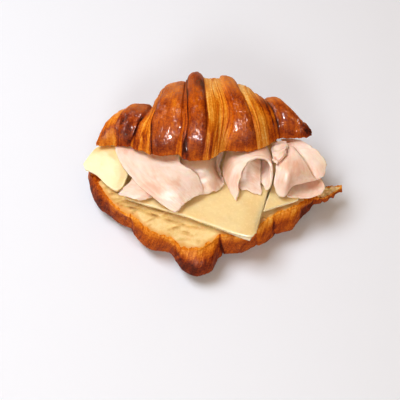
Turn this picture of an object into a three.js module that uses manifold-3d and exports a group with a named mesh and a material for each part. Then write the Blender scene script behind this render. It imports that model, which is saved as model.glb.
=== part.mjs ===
// A filled croissant sandwich: a croissant cut into two halves, with slices of cheese and folded
// slices of turkey breast between them. The lower half lies on its flat baked base and the upper
// half leans back on the filling. Millimetres, +X along the croissant, +Y to its rear, +Z up, with
// the origin on the base.
import * as THREE from "three";
import { mergeVertices } from "three/addons/utils/BufferGeometryUtils.js";
import Module from "manifold-3d";

const wasm = await Module();
wasm.setup();

// ---- driving sizes ---------------------------------------------------------------------------
const GAP = 0.35; // air between two pieces that lie on each other
const CUT_HEIGHT = 24; // the knife's height above the base
const CHEESE_THICK = 2.4;
const TURKEY_THICK = 1.8;

const CRUST = { color: 0xb8661f, roughness: 0.38, metalness: 0 };
const CHEESE = { color: 0xf6dfa0, roughness: 0.4, metalness: 0 };
const TURKEY = { color: 0xeccdb8, roughness: 0.5, metalness: 0 };

// ---- helpers ---------------------------------------------------------------------------------
const lerp = (a, b, t) => a + (b - a) * t;
const clamp = (v, low, high) => Math.min(Math.max(v, low), high);
const ease = (t) => clamp(t, 0, 1) ** 2 * (3 - 2 * clamp(t, 0, 1));
const range = (n) => Array.from({ length: n }, (_, i) => i);
const last = (list) => list[list.length - 1];

// A smooth line through [x, value] stations that never overshoots them (a monotone cubic).
function profile(stations) {
  const x = stations.map(([at]) => at);
  const y = stations.map(([, value]) => value);
  const slope = range(x.length - 1).map((i) => (y[i + 1] - y[i]) / (x[i + 1] - x[i]));
  const tangent = x.map((_, i) => {
    const before = slope[Math.max(i - 1, 0)];
    const after = slope[Math.min(i, slope.length - 1)];
    return before * after <= 0 ? 0 : (2 * before * after) / (before + after);
  });
  return (at) => {
    const p = clamp(at, x[0], last(x));
    const k = clamp(x.filter((v) => v <= p).length - 1, 0, x.length - 2);
    const h = x[k + 1] - x[k];
    const t = (p - x[k]) / h;
    const start = y[k] * (1 + 2 * t) * (1 - t) ** 2 + h * tangent[k] * t * (1 - t) ** 2;
    const end = y[k + 1] * t * t * (3 - 2 * t) + h * tangent[k + 1] * t * t * (t - 1);
    return start + end;
  };
}

// Points and triangles as a closed solid.
function solidFrom(points, triangles) {
  const geometry = new THREE.BufferGeometry();
  geometry.setAttribute("position", new THREE.Float32BufferAttribute(points.flat(), 3));
  geometry.setIndex(triangles.flat());
  const merged = mergeVertices(geometry, 1e-4);
  const vertProperties = merged.attributes.position.array;
  const triVerts = new Uint32Array(merged.index.array);
  return new wasm.Manifold(new wasm.Mesh({ numProp: 3, vertProperties, triVerts }));
}

// Rings with the same number of points, joined in order and closed by a point at each end.
function spindle(rings) {
  const count = rings[0].length;
  const centre = (ring) => [0, 1, 2].map((k) => ring.reduce((sum, p) => sum + p[k], 0) / count);
  const points = [...rings.flat(), centre(rings[0]), centre(last(rings))];
  const triangles = [];
  range(rings.length - 1).forEach((i) =>
    range(count).forEach((j) => {
      const a = i * count + j;
      const b = i * count + ((j + 1) % count);
      triangles.push([a, a + count, b], [b, a + count, b + count]);
    }),
  );
  const end = (rings.length - 1) * count;
  range(count).forEach((j) => {
    const next = (j + 1) % count;
    triangles.push([points.length - 2, j, next], [points.length - 1, end + next, end + j]);
  });
  return solidFrom(points, triangles);
}

// A body wound from bands of dough. Each band starts at an edge that runs round the body, given as
// its x at each of the turns; the last entry holds only the end of the body.
function bandLayout(turns, bands) {
  const lines = bands.map(({ edge }) => profile(turns.map((turn, i) => [turn, edge[i]])));
  const starts = bands.map(({ edge }) => edge[0]);
  const bandAt = (b) => clamp(starts.filter((start) => start <= b).length - 1, 0, bands.length - 2);
  const share = (b, k) => clamp((b - starts[k]) / (starts[k + 1] - starts[k]), 0, 1);
  return {
    // Ring positions at the first turn: close to each band's edges, and evenly between them.
    stations(spacing) {
      return range(bands.length - 1).flatMap((k) => {
        const [from, to] = [starts[k] + 0.5, starts[k + 1] - 0.5];
        const steps = Math.max(1, Math.round((to - from) / spacing));
        return range(steps + 1).map((i) => lerp(from, to, i / steps));
      });
    },
    // x of ring b at a turn, in step with the edges on both sides of it.
    x(b, turn) {
      const k = bandAt(b);
      return lerp(lines[k](turn), lines[k + 1](turn), share(b, k));
    },
    // How far the band stands out of the even body, falling away to the crease at its two edges.
    relief(b) {
      const k = bandAt(b);
      const s = share(b, k);
      const { left, right, crown } = bands[k];
      return lerp(left, right, s) + crown * (1 - (2 * s - 1) ** 4);
    },
  };
}

// ---- the lower half --------------------------------------------------------------------------
// Against x: the cut face's front and rear edge, its height, the height of the underside, and how
// far the front wall bulges out past the cut edge. Beyond x = 72 the bread is a thin torn flap.
const LOWER = {
  front: profile([
    [-69.6, 11.5], [-66, 6], [-59, 0], [-52, -11], [-44, -17.5], [-38, -20.5], [-32, -28.5],
    [-16, -35.5], [-8, -41], [0, -41], [8, -36], [14, -31], [28, -29.5], [35, -23], [46, -12],
    [62, -4], [66, -1.5], [69, 1.5], [71, 4.2], [76, 5.4], [81, 8.2], [85, 11], [88.5, 13.5],
  ]),
  rear: profile([
    [-69.6, 15], [-66.5, 22], [-60, 30], [-40, 45], [-12, 56], [5, 57], [25, 52], [45, 41],
    [60, 28], [68, 18], [73, 13.5], [84, 14.5], [88.5, 15.5],
  ]),
  top: profile([
    [-69.6, 15.5], [-67.5, 20], [-60, 23.5], [-45, CUT_HEIGHT], [50, CUT_HEIGHT], [62, 22.5],
    [70, 17], [80, 15.5], [88.5, 16],
  ]),
  under: profile([
    [-69.6, 12], [-67.5, 6], [-63.5, 1.5], [-58, 0], [58, 0], [65, 2], [69, 5], [72, 8.5],
    [80, 9.5], [88.5, 12],
  ]),
  bulge: profile([
    [-69.6, 1], [-61, 6.5], [-52, 2.5], [-44, -1], [-37, 3], [-26, 1], [-14, -1.5], [-10, 2.2],
    [-6, 6], [2, 8.7], [10, 11], [14, 5], [30, 3], [44, 8.5], [52, 8], [58, 7], [61, 4],
    [64, 1.5], [68, 1], [88.5, 0.3],
  ]),
};
const LOWER_TURNS = [-1.3, 1];
const LOWER_BANDS = bandLayout(LOWER_TURNS, [
  { edge: [-69.6, -69.6], left: 0, right: 0.5, crown: 0 },
  { edge: [-53, -55], left: 0, right: 0, crown: 0.8 },
  { edge: [-38.8, -39.8], left: -0.6, right: 0.4, crown: 0.6 },
  { edge: [-10.2, -12.5], left: -0.8, right: 0.4, crown: 1 },
  { edge: [18, 14.5], left: -1, right: 0, crown: 0.7 },
  { edge: [38.6, 35.1], left: -0.2, right: 0, crown: 1 },
  { edge: [50, 45.1], left: -0.9, right: 0, crown: 0.7 },
  { edge: [66, 62], left: -0.4, right: 0, crown: 0 },
  { edge: [88.5, 88.5] },
]);
const REAR_BULGE = 6;
const WALL_STEPS = 6;
const FACE_STEPS = 6;
const BASE_STEPS = 3;
const BASE_INSET = 9; // how far the wall curls in under the body to reach the base
const BELLY = 0.42; // the share of the height at which the wall stands out furthest
const WALL_LEAN = 1; // radians that the wall turns through from there up to the cut

// The lower half's measures at x, with air added above and below it.
function lowerSection(x, air) {
  const [front, rear] = [LOWER.front(x), LOWER.rear(x)];
  const [top, under] = [LOWER.top(x) + air, LOWER.under(x) - air];
  const slim = Math.min(1, (top - under) / CUT_HEIGHT);
  const inset = Math.min(BASE_INSET, (rear - front) * 0.35) * slim;
  return { front, rear, top, under, slim, inset };
}

// A wall of the lower half from the base up to the cut: side is -1 at the front and 1 at the rear.
function lowerWall(b, side, air) {
  return range(WALL_STEPS + 1).map((i) => {
    const turn = lerp(-Math.PI / 2, WALL_LEAN, i / WALL_STEPS);
    const x = LOWER_BANDS.x(b, turn);
    const { front, rear, top, under, slim, inset } = lowerSection(x, air);
    const even = side < 0 ? LOWER.bulge(x) : REAR_BULGE * slim ** 2;
    const bulge = even + LOWER_BANDS.relief(b) * slim;
    const belly = lerp(under, top, BELLY);
    const lean = (1 - Math.cos(turn)) / (1 - Math.cos(WALL_LEAN));
    const out = turn < 0 ? lerp(-inset, bulge, Math.cos(turn)) : lerp(bulge, 0, lean);
    const foot = lerp(belly, under, -Math.sin(turn));
    const head = lerp(belly, top, Math.sin(turn) / Math.sin(WALL_LEAN));
    return [x, (side < 0 ? front : rear) + side * (out + air), turn < 0 ? foot : head];
  });
}

// One ring of the lower half: up the front wall, back over the cut face, down the rear wall and
// along the base, with air added all round for the solids that are cut clear of it.
function lowerRing(b, air) {
  const frontWall = lowerWall(b, -1, air);
  const rearWall = lowerWall(b, 1, air);
  const face = range(FACE_STEPS).map((i) => {
    const t = (i + 0.5) / FACE_STEPS;
    const x = lerp(last(frontWall)[0], last(rearWall)[0], t);
    const { front, rear, top, slim } = lowerSection(x, air);
    return [x, lerp(front, rear, t), top - 0.8 * slim * Math.sin(Math.PI * t)];
  });
  const base = range(BASE_STEPS).map((i) => {
    const t = (i + 1) / (BASE_STEPS + 1);
    const x = lerp(rearWall[0][0], frontWall[0][0], t);
    return [x, lerp(rearWall[0][1], frontWall[0][1], t), lowerSection(x, air).under];
  });
  return [...frontWall, ...face, ...rearWall.reverse(), ...base];
}

function croissantLower(air = 0) {
  return spindle(LOWER_BANDS.stations(4).map((b) => lowerRing(b, air)));
}

// ---- the upper half --------------------------------------------------------------------------
// Its own frame: x along it, y to the rear, z up from the cut plane through its two tips.
const UPPER_AT = [1, 28, 37.5];
const UPPER_TURN = { tilt: -18, roll: -2.6, yaw: 5.7 }; // degrees about x, y and z
const UPPER = {
  front: profile([
    [-66, -0.6], [-60, -1.1], [-54, -1.8], [-48, -3.3], [-45, -4.7], [-42, -8.1], [-36, -12.7],
    [-33, -15.6], [-27, -17.9], [-17, -19.6], [-13, -24], [-9, -26], [0, -26.6], [3, -25.4],
    [6, -23.4], [9, -20.2], [12, -18.5], [24, -18.1], [30, -16.6], [36, -13], [42, -7.1],
    [45, -4.1], [48, -2.6], [60, -2.6], [66, 0.5],
  ]),
  rear: profile([
    [-66, 1], [-60, 8.5], [-50, 15.5], [-42, 18.8], [-35, 18.8], [-31.5, 26], [-28.5, 29.5],
    [-24, 30.5], [-14, 32.5], [-10, 36], [-5, 37], [4, 34.8], [12, 36], [18, 35.5], [23, 33.2],
    [26, 30.2], [30, 30], [36, 24], [41, 18.8], [47, 18], [52, 13.5], [58, 7], [66, 2],
  ]),
  crest: profile([
    [-66, 2], [-61, 12.5], [-55, 18], [-44, 21], [-36, 21], [-31, 26], [-27, 30], [-20, 31],
    [-14, 32], [-5, 35], [8, 33.5], [22, 32], [30, 29.5], [36, 26.5], [42, 22.5], [48, 21.5],
    [54, 17.5], [60, 11], [66, 3],
  ]),
  arch: profile([[-66, 0], [-50, 1], [-30, 4.5], [-5, 7], [20, 5.5], [45, 2], [66, 0]]),
};
const UPPER_TURNS = [0, 0.9, 1.65];
const UPPER_BANDS = bandLayout(UPPER_TURNS, [
  { edge: [-66, -66, -66], left: 0, right: 0.5, crown: 0.3 },
  { edge: [-53, -51.8, -48.5], left: 0.9, right: 1, crown: 1.2 },
  { edge: [-44.3, -40.5, -34.5], left: -1, right: 0.9, crown: 0.3 },
  { edge: [-31.8, -32.3, -26.8], left: 1, right: 1, crown: 1.7 },
  { edge: [-17.3, -13.8, -12.4], left: 0.4, right: 1, crown: 0 },
  { edge: [-13.6, -10.3, -10.9], left: 2.2, right: 2, crown: 1.5 },
  { edge: [-1.7, 1.3, 1.5], left: 1.2, right: -0.3, crown: 0.3 },
  { edge: [12, 17.3, 14], left: 0.8, right: 1.1, crown: 1.5 },
  { edge: [31.5, 29, 25], left: 0.2, right: -0.2, crown: 0.6 },
  { edge: [39.6, 37.8, 35.2], left: -0.3, right: 0.1, crown: 0.4 },
  { edge: [45.2, 43, 40.8], left: 0.4, right: 0.4, crown: 1.2 },
  { edge: [66, 66, 66] },
]);
const KNOB = { x: -4, turn: 1.95, length: 7, spread: 0.32, rise: 1.8 }; // the roll's dark outer end
const FAN = 0.3; // how much closer the bands lie at the rear than at the front
const UPPER_DEPTH = 66;
const ARC_STEPS = 16;
const UNDER_STEPS = 6;
const HOLLOW = 2.2; // how far the cut underside sags upward between its edges

// The upper half's measures at x, with air added in front, behind and above.
function upperSection(x, air) {
  const [front, rear] = [UPPER.front(x) - air, UPPER.rear(x) + air];
  const crest = UPPER.crest(x) + air;
  const slim = Math.min(1, crest / 20);
  const rim = (y) => UPPER.arch(x) * clamp((rear - y) / (rear - front), 0, 1);
  const place = (y, z) => [x * (1 - (FAN * Math.max(0, y - front)) / UPPER_DEPTH), y, z];
  return { front, rear, crest, slim, rim, place };
}

// The share of the bands' relief at a turn: they flatten out towards the rim on both sides.
const rimFade = (turn) => 0.3 + 0.7 * ease(turn / 0.5) * ease((Math.PI - turn) / 0.5);

// One ring of the upper half: over the crust from front to rear and back along the cut underside.
function upperRing(b, air) {
  const arc = range(ARC_STEPS + 1).map((i) => {
    const turn = (Math.PI * i) / ARC_STEPS;
    const x = UPPER_BANDS.x(b, turn);
    const { front, rear, crest, slim, rim, place } = upperSection(x, air);
    const relief = UPPER_BANDS.relief(b) * slim * rimFade(turn);
    const far = ((x - KNOB.x) / KNOB.length) ** 2 + ((turn - KNOB.turn) / KNOB.spread) ** 2;
    const y = (front + rear) / 2 - ((rear - front) / 2 + relief) * Math.cos(turn);
    const rise = crest - rim(y) + relief + KNOB.rise * Math.exp(-far) + air;
    return place(y, rim(y) - air + rise * Math.sin(turn) ** 0.85);
  });
  const under = range(UNDER_STEPS).map((i) => {
    const t = (i + 1) / (UNDER_STEPS + 1);
    const x = lerp(UPPER_BANDS.x(b, Math.PI), UPPER_BANDS.x(b, 0), t);
    const { front, rear, slim, rim, place } = upperSection(x, air);
    const y = lerp(rear, front, t);
    return place(y, rim(y) - air + HOLLOW * slim * Math.sin(Math.PI * t));
  });
  return [...arc, ...under];
}

function croissantUpper(air = 0) {
  const turn = ["tilt", "roll", "yaw"].map((key) => UPPER_TURN[key]);
  const rings = UPPER_BANDS.stations(3.6).map((b) => upperRing(b, air));
  return spindle(rings).rotate(turn).translate(UPPER_AT);
}

// ---- slices ------------------------------------------------------------------------------------
// A slice follows a smooth skin through rows of points that lie on its middle surface.
function skin(rows) {
  const curveThrough = (points) => new THREE.CatmullRomCurve3(points, false, "centripetal");
  const lines = rows.map((row) => curveThrough(row.map((p) => new THREE.Vector3(...p))));
  return (u, v) => curveThrough(lines.map((line) => line.getPoint(u))).getPoint(v);
}

// The skin as a thin solid: a grid of points, moved half the thickness to either side. Air makes it
// thicker and wider by that much.
function slice(rows, thick, across, along, air = 0) {
  const surface = skin(rows);
  const grid = range(across + 1).map((i) => range(along + 1).map((j) => surface(j / along, i / across)));
  const at = (i, j) => grid[clamp(i, 0, across)][clamp(j, 0, along)];
  const side = (i, j, sign) => {
    const du = at(i, j + 1).clone().sub(at(i, j - 1));
    const dv = at(i + 1, j).clone().sub(at(i - 1, j));
    const normal = du.clone().cross(dv).normalize();
    const out = new THREE.Vector3();
    if (j === 0) out.addScaledVector(du.normalize(), -air);
    if (j === along) out.addScaledVector(du.normalize(), air);
    if (i === 0) out.addScaledVector(dv.normalize(), -air);
    if (i === across) out.addScaledVector(dv.normalize(), air);
    return at(i, j).clone().add(out).addScaledVector(normal, sign * (thick / 2 + air)).toArray();
  };
  const face = (sign) => range(across + 1).flatMap((i) => range(along + 1).map((j) => side(i, j, sign)));
  const width = along + 1;
  const total = (across + 1) * width;
  const triangles = [];
  range(across).forEach((i) =>
    range(along).forEach((j) => {
      const a = i * width + j;
      const b = a + width;
      triangles.push([a, a + 1, b], [a + 1, b + 1, b]);
      triangles.push([a + total, b + total, a + 1 + total], [a + 1 + total, b + total, b + 1 + total]);
    }),
  );
  const border = [
    ...range(along).map((j) => j),
    ...range(across).map((i) => i * width + along),
    ...range(along).map((j) => across * width + along - j),
    ...range(across).map((i) => (across - i) * width),
  ];
  border.forEach((a, k) => {
    const b = border[(k + 1) % border.length];
    triangles.push([a, a + total, b], [b, a + total, b + total]);
  });
  return solidFrom([...face(1), ...face(-1)], triangles);
}

// Cheese slices from the left, each as rows from the rear to the front.
const CHEESE_SLICES = {
  cheese_left: [
    [[-61, 34, 28], [-68.5, 22, 29], [-71.3, 12.5, 26.3]],
    [[-50, 38, 28], [-60, 17, 32], [-62.5, 4.5, 27.5]],
    [[-38, 42, 28], [-49, 14, 33], [-55, -3.5, 27.5]],
    [[-26, 44, 28], [-36, 14, 31], [-46, -8, 27]],
  ],
  cheese_upper: [
    [[-26, 44, 31], [-36, 16, 30], [-43, -8, 28.5]],
    [[8, 46, 30], [0, 10, 29.5], [-8, -21, 28.5]],
    [[38, 42, 29], [36, 6, 30], [30, -33, 29.5]],
    [[50, 36, 28.5], [45, 8, 28.5], [34.5, -27, 29]],
  ],
  cheese_lower: [
    [[-20, 50, 26], [-26, 20, 26], [-30, -12, 25.6]],
    [[14, 52, 26], [6, 14, 26], [0, -22, 25.8]],
    [[48, 40, 26], [42, 4, 26.2], [32, -34, 27]],
  ],
  cheese_right: [
    [[34, 40, 24.8], [34, 10, 24.9], [41, -12, 25.6]],
    [[58, 30, 25], [58, 12, 25.3], [60, -4, 25.6]],
  ],
};

// Turkey slices from the top of the pile down, each as rows from the left to the right.
const TURKEY_SLICES = {
  turkey_left: [
    [[-38, 50, 32], [-50, 31, 33], [-51, 15.5, 37], [-39, -2.5, 35], [-13.5, -22, 31]],
    [[-22, 54, 34], [-28, 32, 40], [-32, 11, 45], [-22, -3, 41.5], [-7, -14, 33.5]],
    [[-6, 54, 34], [-8, 32, 42], [-12.5, 8.5, 46.5], [-2.5, 2, 41], [3.5, -6, 33.5]],
  ],
  turkey_arch: [
    [
      [23, -11.2, 30.3], [23.5, -5.8, 33], [23.7, -1.2, 37], [25.2, 4.4, 43], [28, 8, 46.5],
      [32.5, 10.5, 48.3], [37.5, 10.8, 48], [41, 8.8, 45], [41.9, 6, 40.5], [40.3, 1, 34.5],
      [36.5, 0.5, 31.3],
    ],
    [
      [17.5, 3, 32], [14.5, 5, 34.5], [14.5, 8, 37.5], [17.5, 12, 42], [22.5, 14, 45],
      [29, 16, 47.5], [35, 18, 48], [39.5, 18, 45.5], [41, 16.5, 41], [39.5, 12, 35],
      [35, 10, 32],
    ],
    [
      [2, 46, 32], [7, 47, 33.5], [11, 47, 35], [17, 47, 36], [23, 47, 36], [29, 46, 36],
      [34, 45.5, 35.5], [38, 45, 34.5], [40.5, 44, 34], [41, 43, 33.5], [38, 42, 32.8],
    ],
  ],
  turkey_ruffle: [
    [[32, 26, 41], [37, 28, 42], [43, 30, 42.5], [48, 31, 42.5], [51.5, 31, 42]],
    [[35.5, 17, 44.5], [40.5, 18, 45.5], [45, 19.5, 46], [49, 22, 45], [51.3, 23, 44.5]],
    [[40.5, 12.5, 46.3], [43.3, 9.8, 46], [45.2, 9.2, 45.2], [49, 13.1, 46.3], [50.3, 17, 46.5]],
  ],
  turkey_right: [
    [[44, 38, 36], [46, 24, 40], [43.2, 13.5, 43.5], [42.3, 7.5, 42], [40.6, 1.5, 35]],
    [[47, 38, 36], [48.5, 24, 41.5], [47, 11, 44], [46, 5, 41], [45.5, -1.7, 31.2]],
    [[50, 37, 36], [52, 22, 42.5], [51.6, 10, 45], [51.3, 2.8, 42.5], [51, -4.4, 30.6]],
    [[54, 35, 36], [55.5, 19.5, 43], [56.4, 9, 44], [56.2, 4.3, 41.5], [54.8, 0.6, 34.8]],
    [[57, 31, 36], [59.5, 16, 43], [61, 8.8, 42], [61.3, 5.8, 39.5], [61.5, 3.2, 36]],
    [[60, 26, 38], [63, 11.8, 41.5], [66.5, 8.2, 39.3], [68.5, 7, 37.2], [71, 6.3, 35]],
  ],
  turkey_centre: [
    [[-20, 48, 31], [-18, 32, 36], [-17, 10, 41.5], [-10, 0, 36], [-4, -8, 30.5]],
    [[0, 48, 32], [0, 32, 40], [-1, 9, 44.5], [5, 2, 39], [9, -4.5, 31]],
    [[8, 48, 31], [7.5, 32, 36], [5.5, 11, 42.5], [9, 5, 37], [13, -1, 31.5]],
    [[11, 46, 31], [11, 28, 33], [11.5, 14, 35], [13, 6, 33], [14.8, 1.5, 31]],
  ],
  turkey_right_back: [
    [[47, 33, 38], [51, 23.5, 43], [55.5, 17.5, 41.5], [61.5, 11.5, 37.5], [68, 6.5, 33]],
    [[54, 34, 38], [56.5, 26.5, 43.5], [62, 21.5, 42.5], [67.5, 16, 39.5], [72.5, 8, 34]],
    [[61, 32, 38], [64.7, 26.3, 42.5], [70.3, 22.5, 41.2], [74.9, 17.3, 38.5], [76, 11.4, 35]],
  ],
  turkey_inner: [
    [[23.2, -3, 30.8], [28, -2.2, 31.2], [33.5, -4.2, 30.7], [39.3, -5.8, 30.4]],
    [[23, 3, 34], [27.5, 4.5, 35.2], [32.5, 4, 34.8], [37.5, 1.2, 32.5]],
    [[24.5, 9.5, 38.5], [28, 11, 39.8], [31.5, 10.5, 38.8], [37, 10, 36]],
    [[26, 15, 41.5], [28.5, 15.5, 41.5], [30.5, 15, 40.8], [36, 14, 38]],
    [[24, 28, 37], [28, 29, 37], [32, 29, 36], [34, 28, 35]],
  ],
  turkey_right_under: [
    [[52.5, -3.5, 28.4], [55, 3, 29.6], [55.5, 16, 29]],
    [[59, -3.5, 28], [62.5, 2, 29.4], [62, 15, 28.5]],
    [[67, -2.5, 27.5], [70.5, 2.5, 29.4], [68, 14, 29]],
    [[73, 0.5, 28], [76, 4.5, 29.8], [73, 12, 30]],
  ],
  turkey_left_under: [
    [[-49, -9.5, 28.6], [-43.5, -11, 30.6], [-37.5, -13, 30.8], [-33, -14, 29.8]],
    [[-45.5, -6, 31.5], [-40, -7, 33], [-34, -9.5, 32.5], [-29.5, -11, 30.6]],
    [[-41, 1, 32], [-36, -1, 33.5], [-30, -3, 33], [-25, -5, 31]],
    [[-38, 14, 33], [-32, 12, 34], [-26, 8, 33], [-21, 4, 31]],
  ],
};

// ---- assembly ----------------------------------------------------------------------------------
const pieces = [];

// Adds a piece with the room that it needs cut from it: what is already there stays whole.
function addPiece(name, look, make) {
  const clear = pieces.reduce((solid, other) => solid.subtract(other.grown), make(0));
  const whole = clear.decompose().sort((a, b) => b.volume() - a.volume())[0];
  pieces.push({ name, look, solid: whole, grown: make(GAP) });
}

addPiece("croissant_lower", CRUST, croissantLower);
addPiece("croissant_upper", CRUST, croissantUpper);
Object.entries(CHEESE_SLICES).forEach(([name, rows]) =>
  addPiece(name, CHEESE, (air) => slice(rows, CHEESE_THICK, 6, 8, air)),
);
Object.entries(TURKEY_SLICES).forEach(([name, rows]) =>
  addPiece(name, TURKEY, (air) => slice(rows, TURKEY_THICK, 7, 13, air)),
);

const sandwich = new THREE.Group();
pieces.forEach(({ name, look, solid }) => {
  const { vertProperties, triVerts } = solid.getMesh();
  const geometry = new THREE.BufferGeometry();
  geometry.setAttribute("position", new THREE.BufferAttribute(new Float32Array(vertProperties), 3));
  geometry.setIndex(new THREE.BufferAttribute(new Uint32Array(triVerts), 1));
  geometry.computeVertexNormals();
  const mesh = new THREE.Mesh(geometry, new THREE.MeshStandardMaterial(look));
  mesh.name = name;
  sandwich.add(mesh);
});

export default sandwich;
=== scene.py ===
"""A filled croissant sandwich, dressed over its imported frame.

Laid out as an add-on: settings, one operator for each group of pieces, and one panel. Lengths in
the tables are millimetres in the frame of the CAD part: x along the croissant, y to its rear, z up.
"""

import bpy
import numpy as np
from mathutils import Matrix, Vector


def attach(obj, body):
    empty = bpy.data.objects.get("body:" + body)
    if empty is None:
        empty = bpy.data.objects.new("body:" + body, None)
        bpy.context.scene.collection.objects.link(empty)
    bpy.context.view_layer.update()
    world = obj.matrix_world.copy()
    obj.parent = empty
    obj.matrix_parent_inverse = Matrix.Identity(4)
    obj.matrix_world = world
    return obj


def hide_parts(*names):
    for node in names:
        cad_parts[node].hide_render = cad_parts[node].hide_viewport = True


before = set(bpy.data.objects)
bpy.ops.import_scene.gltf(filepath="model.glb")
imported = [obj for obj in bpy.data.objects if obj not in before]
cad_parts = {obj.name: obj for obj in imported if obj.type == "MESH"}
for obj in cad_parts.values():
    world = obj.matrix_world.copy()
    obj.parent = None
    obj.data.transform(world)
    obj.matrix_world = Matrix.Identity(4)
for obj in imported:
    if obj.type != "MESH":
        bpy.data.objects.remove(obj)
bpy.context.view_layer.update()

bl_info = {
    "name": "Croissant sandwich",
    "version": (1, 0, 0),
    "blender": (4, 5, 0),
    "location": "3D View > Sidebar > Sandwich",
    "description": "Builds a filled croissant sandwich: two crusts, sliced cheese and folded turkey",
    "category": "Add Mesh",
}

MM = 0.001
ROOT_BODY = "root"


# ---- colour ------------------------------------------------------------------------------------
def linear(hex_colour):
    """An sRGB hex colour as linear red, green, blue and an alpha of one."""
    value = np.array([int(hex_colour[i : i + 2], 16) for i in (1, 3, 5)]) / 255
    low = value / 12.92
    high = ((value + 0.055) / 1.055) ** 2.4
    return (*np.where(value <= 0.04045, low, high).tolist(), 1.0)


# ---- lines and noise, on whole arrays ----------------------------------------------------------
def smooth_line(stations):
    """A line through (x, value) stations that never overshoots: a cubic in each gap, whose slope at a
    station is the harmonic mean of the slopes beside it, and level where the line turns back."""
    x, y = np.array(stations, float).T
    slope = np.diff(y) / np.diff(x)
    before, after = np.r_[slope[0], slope], np.r_[slope, slope[-1]]
    turns = before * after <= 0
    tangent = np.where(turns, 0, 2 * before * after / np.where(turns, 1, before + after))

    def value(at):
        p = np.clip(at, x[0], x[-1])
        k = np.clip(np.searchsorted(x, p, side="right") - 1, 0, len(x) - 2)
        h = x[k + 1] - x[k]
        t = (p - x[k]) / h
        start = y[k] * (1 + 2 * t) * (1 - t) ** 2 + h * tangent[k] * t * (1 - t) ** 2
        end = y[k + 1] * t * t * (3 - 2 * t) + h * tangent[k + 1] * t * t * (t - 1)
        return start + end

    return value


def ease(low, high, value):
    """Zero below low, one above high, and a smooth S between them."""
    t = np.clip((value - low) / (high - low), 0, 1)
    return t * t * (3 - 2 * t)


def mix(a, b, t):
    """The straight line from a to b."""
    return a + (b - a) * t


def corner(i, j, k, seed):
    """A repeatable value from -1 to 1 for each corner of a unit grid: what is left after the point
    of a large sine."""
    wave = np.sin(i * 127.1 + j * 311.7 + k * 74.7 + seed * 53.3) * 43758.5453
    return 2 * (wave - np.floor(wave)) - 1


def noise(x, y, z=0.0, seed=0):
    """Value noise: the grid's corner values, blended by an S curve along each axis. Each use has a
    seed of its own, so that no two patterns line up."""
    x, y, z = np.broadcast_arrays(x, y, z)
    i, j, k = np.floor(x), np.floor(y), np.floor(z)
    u, v, w = (f * f * (3 - 2 * f) for f in (x - i, y - j, z - k))
    layers = []
    for dk in (0, 1):
        rows = []
        for dj in (0, 1):
            rows.append(mix(corner(i, j + dj, k + dk, seed), corner(i + 1, j + dj, k + dk, seed), u))
        layers.append(mix(rows[0], rows[1], v))
    return mix(layers[0], layers[1], w)


def rough(x, y, z=0.0, seed=0, octaves=3):
    """Noise at octaves sizes, each half as large and half as strong as the one before."""
    return sum(noise(x * 2**n, y * 2**n, z * 2**n, seed + n) / 2**n for n in range(octaves))


def lumps(points, size, seed, octaves=2):
    """Rough noise through space, with its largest lumps size millimetres across."""
    x, y, z = np.moveaxis(points / np.array(size), -1, 0)
    return rough(x, y, z, seed, octaves)


def curve_points(points, t):
    """A Catmull-Rom curve through the points of each row, at every t from 0 to 1."""
    count = points.shape[-2]
    k = np.clip(np.floor(t * (count - 1)).astype(int), 0, count - 2)
    f = (t * (count - 1) - k)[:, None]
    first = 2 * points[..., :1, :] - points[..., 1:2, :]
    final = 2 * points[..., -1:, :] - points[..., -2:-1, :]
    p = np.concatenate([first, points, final], axis=-2)
    a, b, c, d = (p[..., k + n, :] for n in range(4))
    bend = 2 * a - 5 * b + 4 * c - d
    snap = 3 * b - a - 3 * c + d
    return 0.5 * (2 * b + (c - a) * f + bend * f**2 + snap * f**3)


def ring_normals(points):
    """Unit normals of rings of points: the cross product of the steps around and along them."""
    along = np.gradient(points, axis=0)
    around = (np.roll(points, -1, axis=1) - np.roll(points, 1, axis=1)) / 2
    normal = np.cross(around, along)
    return normal / np.maximum(np.linalg.norm(normal, axis=2, keepdims=True), 1e-9)



# ---- meshes ------------------------------------------------------------------------------------
def add_mesh(name, points, faces, looks, values, slots=None):
    """A mesh object from points in millimetres, faces, its materials and values for each point."""
    mesh = bpy.data.meshes.new(name)
    mesh.from_pydata((points * MM).tolist(), [], faces)
    for key, value in values.items():
        kind, field = ("FLOAT", "value") if value.ndim == 1 else ("FLOAT_VECTOR", "vector")
        layer = mesh.attributes.new(key, kind, "POINT")
        layer.data.foreach_set(field, value.astype(np.float32).ravel())
    for look in looks:
        mesh.materials.append(look)
    if slots is not None:
        mesh.polygons.foreach_set("material_index", slots.astype(np.int32))
    mesh.polygons.foreach_set("use_smooth", np.ones(len(faces), bool))
    mesh.update()
    piece = bpy.data.objects.new(name, mesh)
    bpy.context.scene.collection.objects.link(piece)
    return piece


def ring_faces(rows, count):
    """Quads between rings of count points, and a fan to one point past each end."""
    i, j = np.meshgrid(np.arange(rows - 1), np.arange(count), indexing="ij")
    a = i * count + j
    b = i * count + (j + 1) % count
    quads = np.stack([a, a + count, b + count, b], axis=-1).reshape(-1, 4)
    j = np.arange(count)
    after = (j + 1) % count
    start = np.stack([np.full(count, rows * count), j, after], axis=-1)
    last = (rows - 1) * count
    end = np.stack([np.full(count, rows * count + 1), last + after, last + j], axis=-1)
    return quads, np.concatenate([start, end])


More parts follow.
